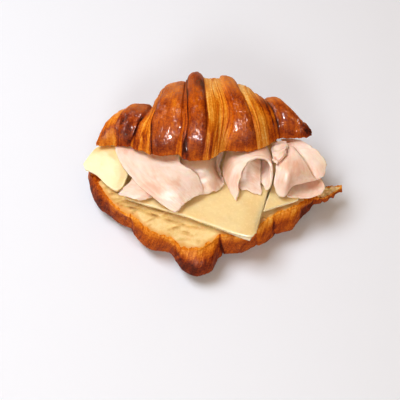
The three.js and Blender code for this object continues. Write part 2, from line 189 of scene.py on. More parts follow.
def ring_body(name, points, looks, values, slot_value):
    """A closed body of rings. A face takes the second material where slot_value is over a half."""
    rows, count, _ = points.shape
    quads, fans = ring_faces(rows, count)

    def with_ends(grid):
        flat = grid.reshape(rows * count, -1)
        ends = np.stack([grid[0].reshape(count, -1).mean(0), grid[-1].reshape(count, -1).mean(0)])
        return np.concatenate([flat, ends])

    flat_values = {}
    for key, grid in values.items():
        flat = with_ends(grid)
        flat_values[key] = flat if flat.shape[1] > 1 else flat[:, 0]
    slot = with_ends(slot_value)[:, 0]
    slots = np.r_[slot[quads].mean(1) > 0.5, slot[fans].mean(1) > 0.5]
    faces = quads.tolist() + fans.tolist()
    return add_mesh(name, with_ends(points), faces, looks, flat_values, slots)


# ---- the two halves of the croissant -----------------------------------------------------------
# The lower half's outlines over x: the cut's front and rear edges in y, the heights of the cut and of
# the underside, and how far the front wall bulges out.
CUT_HEIGHT = 24.0
LOWER = {
    "front": smooth_line([
        (-69.6, 11.5), (-66, 6), (-60, -3), (-55, -10), (-52, -13.6), (-46, -18.5), (-40, -21.7),
        (-36, -23.8), (-32, -27.5), (-27, -31), (-16, -34.5), (-8, -40.5), (0, -41), (8, -36),
        (14, -31), (28, -29.5), (35, -24.5), (46, -14.5), (62, -5), (66, -1.5), (69, 1.5), (71, 4.2),
        (76, 5.4), (81, 8.2), (85, 11), (88.5, 13.5),
    ]),
    "rear": smooth_line([
        (-69.6, 15), (-66.5, 22), (-60, 30), (-40, 45), (-12, 56), (5, 57), (25, 52), (45, 41),
        (60, 28), (68, 18), (73, 13.5), (84, 14.5), (88.5, 15.5),
    ]),
    "top": smooth_line([
        (-69.6, 15.5), (-67.5, 20), (-60, 23.5), (-45, CUT_HEIGHT), (50, CUT_HEIGHT), (62, 22.5),
        (70, 17), (80, 15.5), (88.5, 16),
    ]),
    "under": smooth_line([
        (-69.6, 12), (-67.5, 6), (-63.5, 1.5), (-58, 0), (58, 0), (65, 2), (69, 5), (72, 8.5),
        (80, 9.5), (88.5, 12),
    ]),
    "bulge": smooth_line([
        (-69.6, 1.2), (-66, 5.2), (-61, 6.6), (-57, 3), (-52, -0.4), (-46, -2.4), (-40.6, -3.2),
        (-38, 2), (-34, 3.2), (-26, 2.2), (-14, -0.6), (-10, 2.6), (-6, 6), (2, 8.7), (10, 11),
        (14, 5), (30, 2.5), (44, 6.2), (52, 6.4), (58, 7), (61, 4), (64, 1.5), (68, 1), (88.5, 0.3),
    ]),
}

# The upper half's outlines over x, before it is turned: its front and rear edges in y, the height of
# its crest, and how far its front edge arches up over the filling.
UPPER = {
    "front": smooth_line([
        (-66, -0.6), (-60, -1.1), (-54, -1.8), (-48, -3.3), (-45, -4.7), (-42, -8.1), (-36, -12.7),
        (-33, -15.6), (-27, -17.9), (-17, -19.6), (-13, -24), (-9, -26), (0, -26.6), (3, -25.4),
        (6, -23.4), (9, -20.2), (12, -18.5), (24, -18.1), (30, -16.6), (36, -13), (42, -7.1),
        (45, -4.1), (48, -2.6), (60, -2.6), (66, 0.5),
    ]),
    "rear": smooth_line([
        (-66, 1), (-60, 8.5), (-50, 15.5), (-42, 18.8), (-35, 18.8), (-31.5, 26), (-28.5, 29.5),
        (-24, 30.5), (-14, 32.5), (-10, 36), (-5, 37), (4, 34.8), (12, 36), (18, 35.5), (23, 33.2),
        (26, 30.2), (30, 30), (36, 24), (41, 18.8), (47, 18), (52, 13.5), (58, 7), (66, 2),
    ]),
    "crest": smooth_line([
        (-66, 2), (-61, 12.5), (-55, 18), (-44, 21), (-36, 21), (-31, 26), (-27, 30), (-20, 31),
        (-14, 32), (-5, 35), (8, 33.5), (22, 32), (30, 29.5), (36, 26.5), (42, 22.5), (48, 21.5),
        (54, 17.5), (60, 11), (66, 3),
    ]),
    "arch": smooth_line([
        (-66, 0), (-50, 1), (-30, 4.5), (-5, 7), (20, 5.5), (45, 2), (66, 0),
    ]),
}

# The lower half's walls: the rear's bulge, how far the base lies inside the cut's outline, at most
# this share of the depth, the share of the height where the wall stands out furthest, the turn in
# radians at which it reaches the cut, and how far the cut face sinks in its middle.
REAR_BULGE = 6.0
BASE_INSET = 9.0
INSET_SHARE = 0.35
BELLY = 0.42
WALL_LEAN = 1.0
FACE_DIP = 0.8

# The upper half: where it lies and how it is turned in degrees, its depth from front to rear, how far
# its bands close up over that depth, how far its underside is hollowed, how flat its top is (the
# power of a sine), and the height of crest above which its relief is full.
UPPER_AT = (1, 28, 37.5)
UPPER_TURN = {"tilt": -18, "roll": -2.6, "yaw": 5.7}
UPPER_DEPTH = 66.0
FAN = 0.3
HOLLOW = 2.2
FLATNESS = 0.85
FULL_CREST = 20

# Rings along each half, and the points of a ring on its parts. The cut face's points crowd to the
# front by a power.
LOWER_RINGS = 470
WALL_POINTS, FACE_POINTS, REAR_POINTS, BASE_POINTS = 40, 132, 24, 9
FACE_CROWDING = 1.15
UPPER_RINGS = 540
ARC_POINTS, UNDER_POINTS = 150, 32

# The lower half's bare crumb lies between its baked tips. At the right end the crust is torn to a
# flap, which shows crumb again, and turns rough and pale.
CRUMB_SPAN = (-60.5, 66)
FLAP_CRUMB = (72, 74)
FLAP_ROUGH = (70, 77)
FLAP_PALE = (68, 76)
LEFT_END = (-63, -55)
LOBE_AT, LOBE_WIDTH = -2, 9

# How the layers run: on the lower half they lean by this much of the height over LEAN_MIDDLE, and a
# radian of turn is this many millimetres of the upper half's crust.
LAYER_LEAN, LEAN_MIDDLE = 0.25, 12
CRUST_RADIUS = 34

# The knob on the upper half's crest, and the torn right tip: middles and half widths in x and turn.
KNOB_AT, KNOB_WIDTH = -5.5, 8
KNOB_TURN, KNOB_TURN_WIDTH = 1.85, 0.5
TIP_ROUGH = (59, 64)

# Where the edges between the dough's bands run: x at each of the named turns round the half.
LOWER_TURNS = (-1.3, 1.0)
LOWER_EDGES = np.array([
    (-69.6, -69.6), (-53, -55), (-38.8, -39.8), (-10.2, -12.5), (18, 14.5), (38.6, 35.1),
    (50, 45.1), (66, 62), (88.5, 88.5),
])
UPPER_TURNS = (0, 0.9, 1.65)
UPPER_EDGES = np.array([
    (-66, -66, -66), (-53, -51.8, -48.5), (-44.3, -40.5, -34.5), (-31.8, -32.3, -26.8),
    (-17.3, -13.8, -12.4), (-13.6, -10.3, -10.9), (-1.7, 1.3, 1.5), (12, 17.3, 14),
    (31.5, 29, 25), (39.6, 37.8, 35.2), (45.2, 43, 40.8), (66, 66, 66),
])

# The bands between those edges: how far each stands out at its left and right edge, how much it is
# crowned between them, the groove at its left edge, how dark it is baked from 0 to 1, how much of
# it is the striped, cut side of the layers, and over what width its left edge blends. The last row
# is past the right end, and only its blend counts.
LOWER_BANDS = np.array([
    (0.0, 0.5, 0.0, 0.0, 0.76, 0.3, 1.0), (0.0, 0.0, 0.8, 0.3, 0.62, 0.7, 3.0),
    (-0.6, 0.4, 0.6, 0.7, 0.60, 0.8, 1.2), (-0.8, 0.4, 1.0, 0.5, 0.66, 0.7, 2.0),
    (-1.0, 0.0, 0.7, 1.6, 0.62, 0.6, 0.9), (-0.2, 0.0, 1.0, 0.3, 0.54, 1.0, 2.5),
    (-0.9, 0.0, 0.7, 0.9, 0.60, 0.9, 1.0), (-0.4, 0.0, 0.0, 0.5, 0.80, 0.5, 2.0),
    (0.0, 0.0, 0.0, 0.0, 0.8, 0.5, 1.0),
])
UPPER_BANDS = np.array([
    (0.0, 0.5, 0.3, 0.0, 0.51, 0.80, 1.0), (0.7, 1.0, 1.2, 0.2, 0.74, 0.20, 4.0),
    (-1.0, 0.9, 0.3, 0.9, 0.44, 1.00, 1.3), (1.0, 1.0, 1.7, 1.3, 0.64, 0.10, 0.9),
    (0.4, 1.0, 0.0, 0.3, 0.56, 0.90, 2.2), (2.2, 2.0, 1.5, 0.9, 0.64, 0.08, 0.8),
    (1.2, -0.3, 0.3, 0.4, 0.34, 1.00, 1.8), (0.8, 1.1, 1.5, 0.0, 0.60, 0.10, 6.5),
    (0.2, -0.2, 0.6, 0.6, 0.29, 0.90, 1.6), (-0.3, 0.1, 0.4, 0.2, 0.56, 0.80, 3.5),
    (0.4, 0.4, 1.2, 0.8, 0.64, 0.25, 1.8), (0.0, 0.0, 0.0, 0.0, 0.64, 0.25, 1.0),
])
GROOVE_WIDTH = 0.55

# How much closer rings lie on striped bands and at grooves, and in how many steps that is summed.
STRIPED_RINGS, GROOVE_RINGS = 0.9, 1.5
FINE_STEPS = 4000
END_GAP = 0.1

# How much darker the crust's colour is made for each cause, where it is full. groove is painted shade
# in the grooves, and far_side is painted sheen that lightens the upper half's top and rear. foot, lobe
# and knob darken the base, the lobe's lower part and the knob, and beside_cut lightens the wall just
# below the cut. The rest is the bake's own tone. Those that start with striped_ count on the striped
# bands, left_grain on the left end, and the rest everywhere.
LOWER_BROWNING_AND_SHADE = {
    "groove": 0.25, "beside_cut": -0.34, "foot": 0.16, "lobe": 0.22, "flap": -0.2, "cuts": 0.04,
    "striped_cuts": 0.1, "striped_streaks": -0.07, "mottle": 0.08, "grain": 0.07, "left_grain": 0.1,
}
UPPER_BROWNING_SHADE_AND_SHEEN = {
    "groove": 0.32, "knob": 0.2, "far_side": -0.14, "rim": -0.1, "striped": -0.1, "cuts": 0.02,
    "striped_cuts": 0.27, "streaks": -0.02, "striped_streaks": -0.2, "mottle": 0.11,
    "striped_mottle": -0.06, "grain": 0.05, "torn": 0.3,
}

# How far the crust's skin stands out in millimetres for each cause, in the same way. plain_layers and
# striped_layers are the share of the streaks and cuts that all bands have, and what striped ones add.
LOWER_RELIEF = {
    "striped_streaks": 0.12, "striped_cuts": -0.24, "skin": 0.22, "striped_skin": -0.1, "lumps": 0.6,
    "torn": 1.3,
}
UPPER_RELIEF = {
    "plain_layers": 0.1, "striped_layers": 0.9, "streaks": 0.16, "cuts": -0.36, "skin": 0.16,
    "striped_skin": -0.08, "torn": 0.9,
}
LOWER_GLAZE = 0.15
UPPER_GLAZE = 0.8

# Darker and lighter patches of the upper crust: x and turn of the middle, half width in x and in
# turn, and the change in colour level.
CRUST_PATCHES = [
    (-57, 0.3, 3, 0.3, -0.12), (-47, 0.8, 4, 0.35, 0.12), (-25, 0.2, 7, 0.2, 0.16),
    (-28, 1.4, 3, 0.3, 0.18), (-19, 1.0, 3, 0.35, -0.1), (0.5, 1.62, 3.5, 0.2, 0.3),
    (-11.5, 0.35, 1.8, 0.4, 0.35), (-4, 1.2, 4, 0.25, -0.06), (18, 1.25, 4, 0.35, 0.16),
    (27, 0.3, 5, 0.3, 0.1), (38, 1.4, 6, 0.3, 0.34), (36, 0.6, 3, 0.5, -0.08),
    (-26, 1.75, 8, 0.2, 0.1),
]


def band_grid(b, turn, turns, edges):
    """x for the band coordinate b, which is x at the first turn: straight lines between the edges,
    each of which is a smooth line over the turn."""
    lines = [smooth_line(np.stack([turns, edge], axis=1))(turn) for edge in edges]
    x = lines[0]
    for start, end, low, high in zip(edges[:-1, 0], edges[1:, 0], lines[:-1], lines[1:]):
        x = x + np.clip((b - start) / (end - start), 0, 1) * (high - low)
    return x


def band_looks(b, edges, bands):
    """Relief, bake, stripes and groove at b. Relief is each band's straight line and crown, blended
    at its edges, and a groove is a narrow bell at a band's left edge."""
    total, relief, browning_and_painted_light, stripes, groove = (np.zeros_like(b) for _ in range(5))
    for k, (left, right, crown, cut, dark, striped, blend) in enumerate(bands[: len(edges) - 1]):
        start, end, next_blend = edges[k, 0], edges[k + 1, 0], bands[k + 1, 6]
        s = np.clip((b - start) / (end - start), 0, 1)
        inside = ease(start - blend / 2, start + blend / 2, b)
        inside = inside * (1 - ease(end - next_blend / 2, end + next_blend / 2, b)) + 1e-6
        total += inside
        relief += inside * (mix(left, right, s) + crown * (1 - (2 * s - 1) ** 4))
        browning_and_painted_light += inside * dark
        stripes += inside * striped
        groove += cut * np.exp(-(((b - start) / GROOVE_WIDTH) ** 2))
    return relief / total, browning_and_painted_light / total, stripes / total, groove


def ring_places(edges, bands, count):
    """Band coordinates of the rings, which lie closer together on striped bands and at grooves: even
    steps of the sum of a weight."""
    fine = np.linspace(edges[0, 0] + END_GAP, edges[-1, 0] - END_GAP, FINE_STEPS)
    _, _, striped, groove = band_looks(fine, edges, bands)
    weight = np.cumsum(1 + STRIPED_RINGS * striped + GROOVE_RINGS * np.minimum(groove, 1))
    return np.interp(np.linspace(weight[0], weight[-1], count), weight, fine)[:, None]


def layer_cuts(across, along, seed):
    """Thin cuts between the baked layers, and the broader streaks beside them. A cut is a bell over
    the zeros of a noise that is 1 or 2 mm across and centimetres long."""
    sway = across + 0.5 * noise(across / 6, along / 14, seed=seed + 2)
    wide = noise(sway / 1.6, along / 45, seed=seed)
    fine = noise(sway / 0.9, along / 26, seed=seed + 1)
    fade = 0.65 + 0.45 * noise(across / 4, along / 12, seed=seed + 3)
    cuts = np.exp(-((wide / 0.17) ** 2)) * (0.75 + 0.35 * fade)
    cuts = cuts + 0.6 * fade * np.exp(-((fine / 0.2) ** 2))
    streaks = 0.7 * noise(sway / 1.5, along / 32, seed=seed + 4)
    streaks = streaks + 0.4 * noise(sway / 0.6, along / 16, seed=seed + 5)
    return np.minimum(cuts, 1.2), streaks


def mottle(across, along, seed):
    """Uneven browning: noise of 4 mm and finer, drawn out along the bands."""
    return rough(across / 3.6, along / 7, 0, seed, 4)


def blisters(points, seed):
    """Wrinkles of a glazed, baked skin: soft lumps of 6 mm, and noise of 2.5 mm folded at its zeros."""
    return 0.55 * lumps(points, 6, seed) + 0.45 * (1 - 2 * np.abs(lumps(points, 2.5, seed + 5)))


# Hollows in the cut face that stand out: middle x and y, half length, half width, turn in degrees
# and depth.
FACE_HOLLOWS = [
    (-38.5, -15.6, 6.0, 0.9, -8, 1.5), (-26.0, -19.5, 5.5, 1.0, -14, 1.2),
    (-15.0, -22.6, 7.5, 1.1, -12, 1.1), (-1.5, -25.6, 8.0, 1.2, -6, 1.0),
    (-49.0, -13.0, 0.9, 0.7, 0, 2.0), (-48.2, -16.2, 0.8, 0.7, 0, 2.0),
    (-40.0, -19.4, 1.2, 0.6, 30, 2.2), (-55.0, -0.8, 3.4, 0.8, -35, 2.2),
    (-50.0, -4.6, 2.6, 0.8, -35, 2.0), (51.0, -5.4, 6.0, 0.7, 22, 2.0),
]
LOOSE_HOLLOWS = 90
HOLLOWS_SEED = 11


def hollows(x, y, front):
    """Depth of the cut face's hollows, those of the table and loose ones at random: the deepest of
    a bell for each, stretched along its turn."""
    rng = np.random.default_rng(HOLLOWS_SEED)
    depth = np.zeros_like(x)
    sites = list(FACE_HOLLOWS)
    for _ in range(LOOSE_HOLLOWS):
        at = rng.uniform(-58, 60)
        inward = rng.uniform(3, 26)
        length, width = rng.uniform(1.2, 4.5), rng.uniform(0.5, 1.3)
        turn = -24 * np.tanh(at / 25) + rng.uniform(-20, 20)
        sites.append((at, float(front(at)) + inward, length, width, turn, rng.uniform(0.4, 1.2)))
    for at_x, at_y, length, width, turn, deep in sites:
        c, s = np.cos(np.radians(turn)), np.sin(np.radians(turn))
        u = ((x - at_x) * c + (y - at_y) * s) / length
        v = (-(x - at_x) * s + (y - at_y) * c) / width
        depth = np.maximum(depth, deep * np.exp(-(u * u + v * v)))
    return depth


def crumb_relief(x, y, front, seed):
    """Depth of the crumb's open texture, never above the cut: the sum of hollows, soft swells of 6
    to 9 mm and pores of about 1 mm."""
    swell = 0.35 * rough(x / 9, y / 6, 0, seed, 2)
    pores = 0.22 * np.maximum(0, noise(x / 1.5, y / 0.9, 0, seed + 3))
    pores = pores + 0.12 * noise(x / 0.7, y / 0.6, 0, seed + 4)
    return np.maximum(hollows(x, y, front) + pores + swell, 0)


def slim_at(x):
    """How much of its full height the lower half has at x, up to one."""
    return np.minimum(1, (LOWER["top"](x) - LOWER["under"](x)) / CUT_HEIGHT)


def lower_wall(b, count, seed, side):
    """A wall of the lower half from base to cut, at the front (side -1) or the rear (side 1). It
    goes out as the cosine of the turn and up as its sine, from an inset foot to the belly, then
    leans back in to the cut. Returns x, y, z and the bands' bake, stripes and groove."""
    turn = np.linspace(-np.pi / 2, WALL_LEAN, count)[None, :]
    x = band_grid(b, turn, LOWER_TURNS, LOWER_EDGES)
    sway = 0.8 * noise(b / 9, turn * 1.5, seed=seed) + 0.3 * noise(b / 3, turn * 4, seed=seed + 1)
    relief, browning_and_painted_light, stripes, groove = band_looks(b + sway, LOWER_EDGES, LOWER_BANDS)
    front, rear, top, under = (LOWER[key](x) for key in ("front", "rear", "top", "under"))
    slim = slim_at(x)
    even = LOWER["bulge"](x) if side < 0 else REAR_BULGE * slim**2
    bulge = even + (relief - groove) * slim
    inset = np.minimum(BASE_INSET, (rear - front) * INSET_SHARE) * slim
    belly = mix(under, top, BELLY)
    low = turn < 0
    lean = (1 - np.cos(turn)) / (1 - np.cos(WALL_LEAN))
    rise = np.sin(turn) / np.sin(WALL_LEAN)
    out = np.where(low, mix(-inset, bulge, np.cos(turn)), mix(bulge, 0, lean))
    y = (front if side < 0 else rear) + side * out
    z = np.where(low, mix(belly, under, -np.sin(turn)), mix(belly, top, rise))
    return x, y, z, browning_and_painted_light, stripes, groove


def lower_rings():
    """The lower half as rings: the front wall up, the cut face, which dips as a sine, the rear wall
    down, and the base. What lies between the walls runs straight from one to the other. Returns x,
    y, z, the bands' looks and the columns of the face and the base."""
    b = ring_places(LOWER_EDGES, LOWER_BANDS, LOWER_RINGS)
    face_t = (((np.arange(FACE_POINTS) + 0.5) / FACE_POINTS) ** FACE_CROWDING)[None, :]
    base_t = ((np.arange(BASE_POINTS) + 1) / (BASE_POINTS + 1))[None, :]

    def ring(wall, rear_wall):
        face = mix(wall[:, -1:], rear_wall[:, -1:], face_t)
        base = mix(rear_wall[:, :1], wall[:, :1], base_t)
        return np.concatenate([wall, face, rear_wall[:, ::-1], base], axis=1)

    walls = zip(lower_wall(b, WALL_POINTS, 2, -1), lower_wall(b, REAR_POINTS, 5, 1))
    x, y, z, browning_and_painted_light, stripes, groove = (ring(*pair) for pair in walls)
    face, base = slice(WALL_POINTS, WALL_POINTS + FACE_POINTS), slice(-BASE_POINTS, None)
    face_x = x[:, face]
    y[:, face] = mix(LOWER["front"](face_x), LOWER["rear"](face_x), face_t)
    z[:, face] = LOWER["top"](face_x) - FACE_DIP * slim_at(face_x) * np.sin(np.pi * face_t)
    z[:, base] = LOWER["under"](x[:, base])
    return x, y, z, browning_and_painted_light, stripes, groove, face, base


def lower_surface():
    """The lower half: its rings, pushed along their normals by the crust's relief, or inwards by the
    crumb's depth, and by torn lumps at the flap. Returns points, material values and where it is
    crumb."""
    x, y, z, browning_and_painted_light, stripes, groove, face, base = lower_rings()
    points = np.stack([x, y, z], axis=-1)
    on_face, on_base = np.zeros(x.shape), np.zeros(x.shape)
    on_face[:, face], on_base[:, base] = 1, 1
    front, rear, top, under = (LOWER[key](x) for key in ("front", "rear", "top", "under"))

    edge = np.minimum(y - front, rear - y) * on_face
    from_left = x - CRUMB_SPAN[0] - 3 * noise(y / 6, x / 6, seed=8)
    to_right = CRUMB_SPAN[1] - x + 2 * noise(y / 5, x / 5, seed=9)
    border = 1.1 * noise(x / 2.2, y / 2.2, seed=6) + 0.5 * noise(x / 0.9, y / 0.9, seed=7)
    on_flap = ease(*FLAP_CRUMB, x)
    crumb = ease(1.2, 2.4, edge + border) * ease(-1, 2, np.minimum(from_left, to_right))
    crumb = crumb + on_flap * ease(0.3, 0.9, edge + 1.2 * noise(x / 2, y / 2, seed=10))
    crumb = np.clip(crumb * on_face, 0, 1)
    browned = 1 - ease(1.5, 6, edge + 1.5 * noise(x / 4, y / 4, seed=12) + 6 * on_flap)

    leaning = x - LAYER_LEAN * (z - LEAN_MIDDLE)
    cuts, streaks = layer_cuts(leaning, z * 1.2 + 0.1 * y, 20)
    up = np.clip((z - under) / np.maximum(top - under, 1), 0, 1)
    left_end = 1 - ease(*LEFT_END, x)
    lobe = np.exp(-(((x - LOBE_AT) / LOBE_WIDTH) ** 2)) * (1 - on_face)
    much = LOWER_BROWNING_AND_SHADE
    # Painted shade: the grooves are darkened.
    browning_and_painted_light = browning_and_painted_light + much["groove"] * groove
    browning_and_painted_light = browning_and_painted_light + much["beside_cut"] * ease(0.75, 1.0, up) * (1 - 0.7 * left_end)
    browning_and_painted_light = browning_and_painted_light + much["foot"] * (1 - ease(0.0, 0.45, up))
    browning_and_painted_light = browning_and_painted_light + much["lobe"] * lobe * (1 - ease(0.6, 0.95, up)) + much["flap"] * ease(*FLAP_PALE, x)
    browning_and_painted_light = browning_and_painted_light + (much["cuts"] + much["striped_cuts"] * stripes) * cuts
    browning_and_painted_light = browning_and_painted_light + much["striped_streaks"] * stripes * streaks
    browning_and_painted_light = browning_and_painted_light + much["mottle"] * mottle(leaning, z * 2, 80)
    browning_and_painted_light = browning_and_painted_light + (much["grain"] + much["left_grain"] * left_end) * lumps(points, 1.2, 81)

    high = LOWER_RELIEF
    skin = (high["skin"] + high["striped_skin"] * stripes) * blisters(points, 30)
    relief = stripes * (high["striped_streaks"] * streaks + high["striped_cuts"] * cuts) + skin
    relief = relief + high["lumps"] * lumps(points, (11, 11, 9), 33) * (1 - on_face)
    depth = crumb_relief(x, y, LOWER["front"], 40)
    amount = mix(relief * (1 - on_base), -depth, crumb) * np.clip(slim_at(x) * 1.4, 0.25, 1)
    amount = amount + high["torn"] * ease(*FLAP_ROUGH, x) * lumps(points, 2.6, 50, 3)
    points = points + ring_normals(points) * amount[..., None]
    points[..., 2] = np.maximum(points[..., 2], 0)
    # depth darkens the crumb's hollows in its material: painted shade.
    values = {
        "browning_and_painted_light": np.clip(browning_and_painted_light, 0, 0.9), "stripes": stripes, "glaze": LOWER_GLAZE * (1 - stripes),
        "painted_sheen": 0 * z, "depth": np.clip(depth / 2, 0, 1), "crumb_edge": browned,
        "grain": np.stack([leaning, z, 0 * y], axis=-1),
    }
    return points, values, crumb


def turn_matrix(tilt, roll, yaw):
    """Turns about x, then y, then z, in degrees."""
    angles = ((yaw, "Z"), (roll, "Y"), (tilt, "X"))
    about_z, about_y, about_x = (Matrix.Rotation(np.radians(angle), 3, axis) for angle, axis in angles)
    return np.array(about_z @ about_y @ about_x)


def upper_rings():
    """The upper half as rings, before it is turned: an arc over the crust, with its sine eased
    towards a flat top, and back along the hollowed underside. The front edge arches up and has
    small teeth. Returns b, turn, x, y, z, the edges in y, slimness, the bands' looks and the knob."""
    b = ring_places(UPPER_EDGES, UPPER_BANDS, UPPER_RINGS)
    turn = np.pi * np.linspace(0, 1, ARC_POINTS)[None, :]
    t = ((np.arange(UNDER_POINTS) + 1) / (UNDER_POINTS + 1))[None, :]
    arc_x = band_grid(b, turn, UPPER_TURNS, UPPER_EDGES)
    x = np.concatenate([arc_x, mix(arc_x[:, -1:], arc_x[:, :1], t)], axis=1)
    sway = 0.8 * noise(b / 11, turn * 1.3, seed=3) + 0.3 * noise(b / 4, turn * 5, seed=4)
    relief, browning_and_painted_light, stripes, groove = band_looks(b + sway, UPPER_EDGES, UPPER_BANDS)
    knob = -(((arc_x - KNOB_AT) / KNOB_WIDTH) ** 4) - ((turn - KNOB_TURN) / KNOB_TURN_WIDTH) ** 2
    knob = np.exp(knob)
    lump = 0.9 * knob * (1 + 0.7 * noise(arc_x / 3, turn * 8, seed=5))
    teeth = 0.5 * noise(b / 1.2, 0.3, seed=17) + 0.5 * noise(b / 3.1, 0.6, seed=18)

    front, rear, arch, crest = (UPPER[key](x) for key in ("front", "rear", "arch", "crest"))
    slim = np.minimum(1, crest / FULL_CREST)
    over, under = slice(None, ARC_POINTS), slice(ARC_POINTS, None)
    from_edges = ease(0, 0.5, turn) * ease(0, 0.5, np.pi - turn)
    relief = (relief - groove * (0.6 + 0.4 * noise(arc_x / 6, turn * 3, seed=14))) * slim[:, over]
    relief = relief * (0.3 + 0.7 * from_edges)
    near, far = front[:, over], rear[:, over]
    arc_y = (near + far) / 2 - ((far - near) / 2 + relief) * np.cos(turn) + teeth * np.exp(-turn / 0.12)
    rim = arch[:, over] * np.clip((far - arc_y) / (far - near), 0, 1)
    arc_z = rim + (crest[:, over] - rim + relief + lump) * np.sin(turn) ** FLATNESS
    under_y = mix(rear[:, under], front[:, under], t) + teeth * np.exp((t - 1) / 0.05)
    under_z = arch[:, under] * t + HOLLOW * slim[:, under] * np.sin(np.pi * t)
    y, z = np.concatenate([arc_y, under_y], axis=1), np.concatenate([arc_z, under_z], axis=1)
    return b, turn, x, y, z, (front, rear), slim, (browning_and_painted_light, stripes, groove), knob


def upper_surface():
    """The upper half: its rings, closed up to the rear, pushed along their normals by the crust's
    relief or the crumb's depth, and turned and set on the filling. Returns points, material values
    and where it is crumb."""
    b, turn, x, y, z, (front, rear), slim, (browning_and_painted_light, stripes, groove), knob = upper_rings()
    straight = np.stack([x, y, z], axis=-1)
    fan = x * (1 - FAN * np.maximum(0, y - front) / UPPER_DEPTH)
    points = np.stack([fan, y, z], axis=-1)

    def both(over, under):
        """Values for the whole ring from those over the crust and one, or one a ring, for below."""
        return np.concatenate([over, under + np.zeros((UPPER_RINGS, UNDER_POINTS))], axis=1)

    below = both(0 * browning_and_painted_light, 1)
    edge = np.minimum(y - front, rear - y) * below
    crumb = ease(0.6, 1.6, edge + 0.9 * noise(x / 2.2, y / 2.2, seed=16)) * below
    across, around = both(b + 0 * turn, b), both(turn * CRUST_RADIUS + 0 * browning_and_painted_light, 0)
    # Painted sheen: the far side, at the top and rear, is made lighter and speckled pale tan, less so on
    # the knob.
    far_side = ease(1.15, 1.7, turn)
    ridges = (1 - 0.85 * stripes) * (1 - 0.85 * far_side) * ease(0.1, 0.4, turn)
    painted_sheen = far_side * (1 - 0.7 * knob)
    stripes = both(stripes, stripes[:, :1])

    cuts, streaks = layer_cuts(across, around, 25)
    torn = ease(*TIP_ROUGH, x)
    arc_x = x[:, :ARC_POINTS]
    patches = sum(
        change * np.exp(-(((arc_x - at) / wide) ** 2) - ((turn - at_turn) / high) ** 2)
        for at, at_turn, wide, high, change in CRUST_PATCHES
    )
    much = UPPER_BROWNING_SHADE_AND_SHEEN
    # Painted shade darkens the grooves, and painted sheen lightens the far side.
    causes = much["groove"] * groove + much["knob"] * knob + patches + much["far_side"] * far_side
    browning_and_painted_light = both(browning_and_painted_light + causes, browning_and_painted_light[:, :1])
    browning_and_painted_light = browning_and_painted_light + much["rim"] * np.exp(-((around / 3) ** 2)) * (1 - below) + much["striped"] * stripes
    browning_and_painted_light = browning_and_painted_light + (much["cuts"] + much["striped_cuts"] * stripes) * cuts
    browning_and_painted_light = browning_and_painted_light + (much["streaks"] + much["striped_streaks"] * stripes) * streaks
    browning_and_painted_light = browning_and_painted_light + (much["mottle"] + much["striped_mottle"] * stripes) * mottle(across, around, 82)
    browning_and_painted_light = browning_and_painted_light + much["grain"] * lumps(straight, 1.1, 83)
    browning_and_painted_light = browning_and_painted_light + much["torn"] * torn * (0.6 + 0.6 * noise(x / 2, y / 2, z / 2, seed=19))

    high = UPPER_RELIEF
    layers = high["streaks"] * streaks + high["cuts"] * cuts
    relief = (high["plain_layers"] + high["striped_layers"] * stripes) * layers
    relief = relief + (high["skin"] + high["striped_skin"] * stripes) * blisters(points, 60)
    depth = crumb_relief(x, y, UPPER["front"], 70)
    amount = mix(relief * (1 - below), -depth, crumb) * np.clip(slim * 1.3, 0, 1)
    amount = amount + high["torn"] * torn * lumps(straight, 2.4, 51)
    points = points + ring_normals(points) * amount[..., None]
    points = points @ turn_matrix(**UPPER_TURN).T + np.array(UPPER_AT)
    # The far side carries a painted pale tan sheen, and depth paints shade into the crumb's hollows.
    values = {
        "browning_and_painted_light": np.clip(browning_and_painted_light, 0, 1), "stripes": stripes, "glaze": both(UPPER_GLAZE * ridges, 0),
        "painted_sheen": both(painted_sheen, 0), "depth": np.clip(depth / 2, 0, 1), "crumb_edge": 1 - ease(1.5, 6, edge),
        "grain": np.stack([across, around, 0 * y], axis=-1),
    }
    return points, values, crumb


# ---- slices --------------------------------------------------------------------------------------
# Each slice is a smooth skin through rows of points on its middle surface.
CHEESE_SLICES = {
    "cheese_left": [
        [(-57, 28, 29), (-66, 20.5, 29.5), (-73.5, 9, 27)],
        [(-50, 30, 29.8), (-58, 18, 31.3), (-63, 4.3, 27.5)],
        [(-44, 30, 30.2), (-49, 14, 31.4), (-55, -3.5, 27.6)],
        [(-39.5, 30, 30.3), (-41, 14, 31), (-47, -7.5, 27.4)],
    ],
    "cheese_upper": [
        [(-28, 40, 28.6), (-37, 16, 28.2), (-45, -10.5, 26.2)],
        [(8, 42, 29), (0, 10, 29), (-8, -21, 28.5)],
        [(38, 38, 28.6), (36, 6, 29.2), (30, -32.6, 29.5)],
        [(50, 34, 28.2), (43.5, 6, 28.8), (34.5, -22.5, 29)],
    ],
    "cheese_lower": [
        [(-14, 46, 25.6), (-17, 20, 25.6), (-17.5, -16.3, 25.5)],
        [(14, 48, 25.7), (6, 14, 25.7), (0, -22, 25.6)],
        [(48, 36, 25.7), (42, 4, 25.8), (32, -34, 26.6)],
    ],
    "cheese_right": [
        [(50.9, 33, 27.8), (44.6, 8, 28.2), (38.6, -14.5, 28.5)],
        [(55, 31, 26.8), (50.5, 9, 26.9), (48, -9.6, 27.2)],
        [(61, 28, 26), (60, 12, 26), (60.5, -3.6, 26.1)],
    ],
}
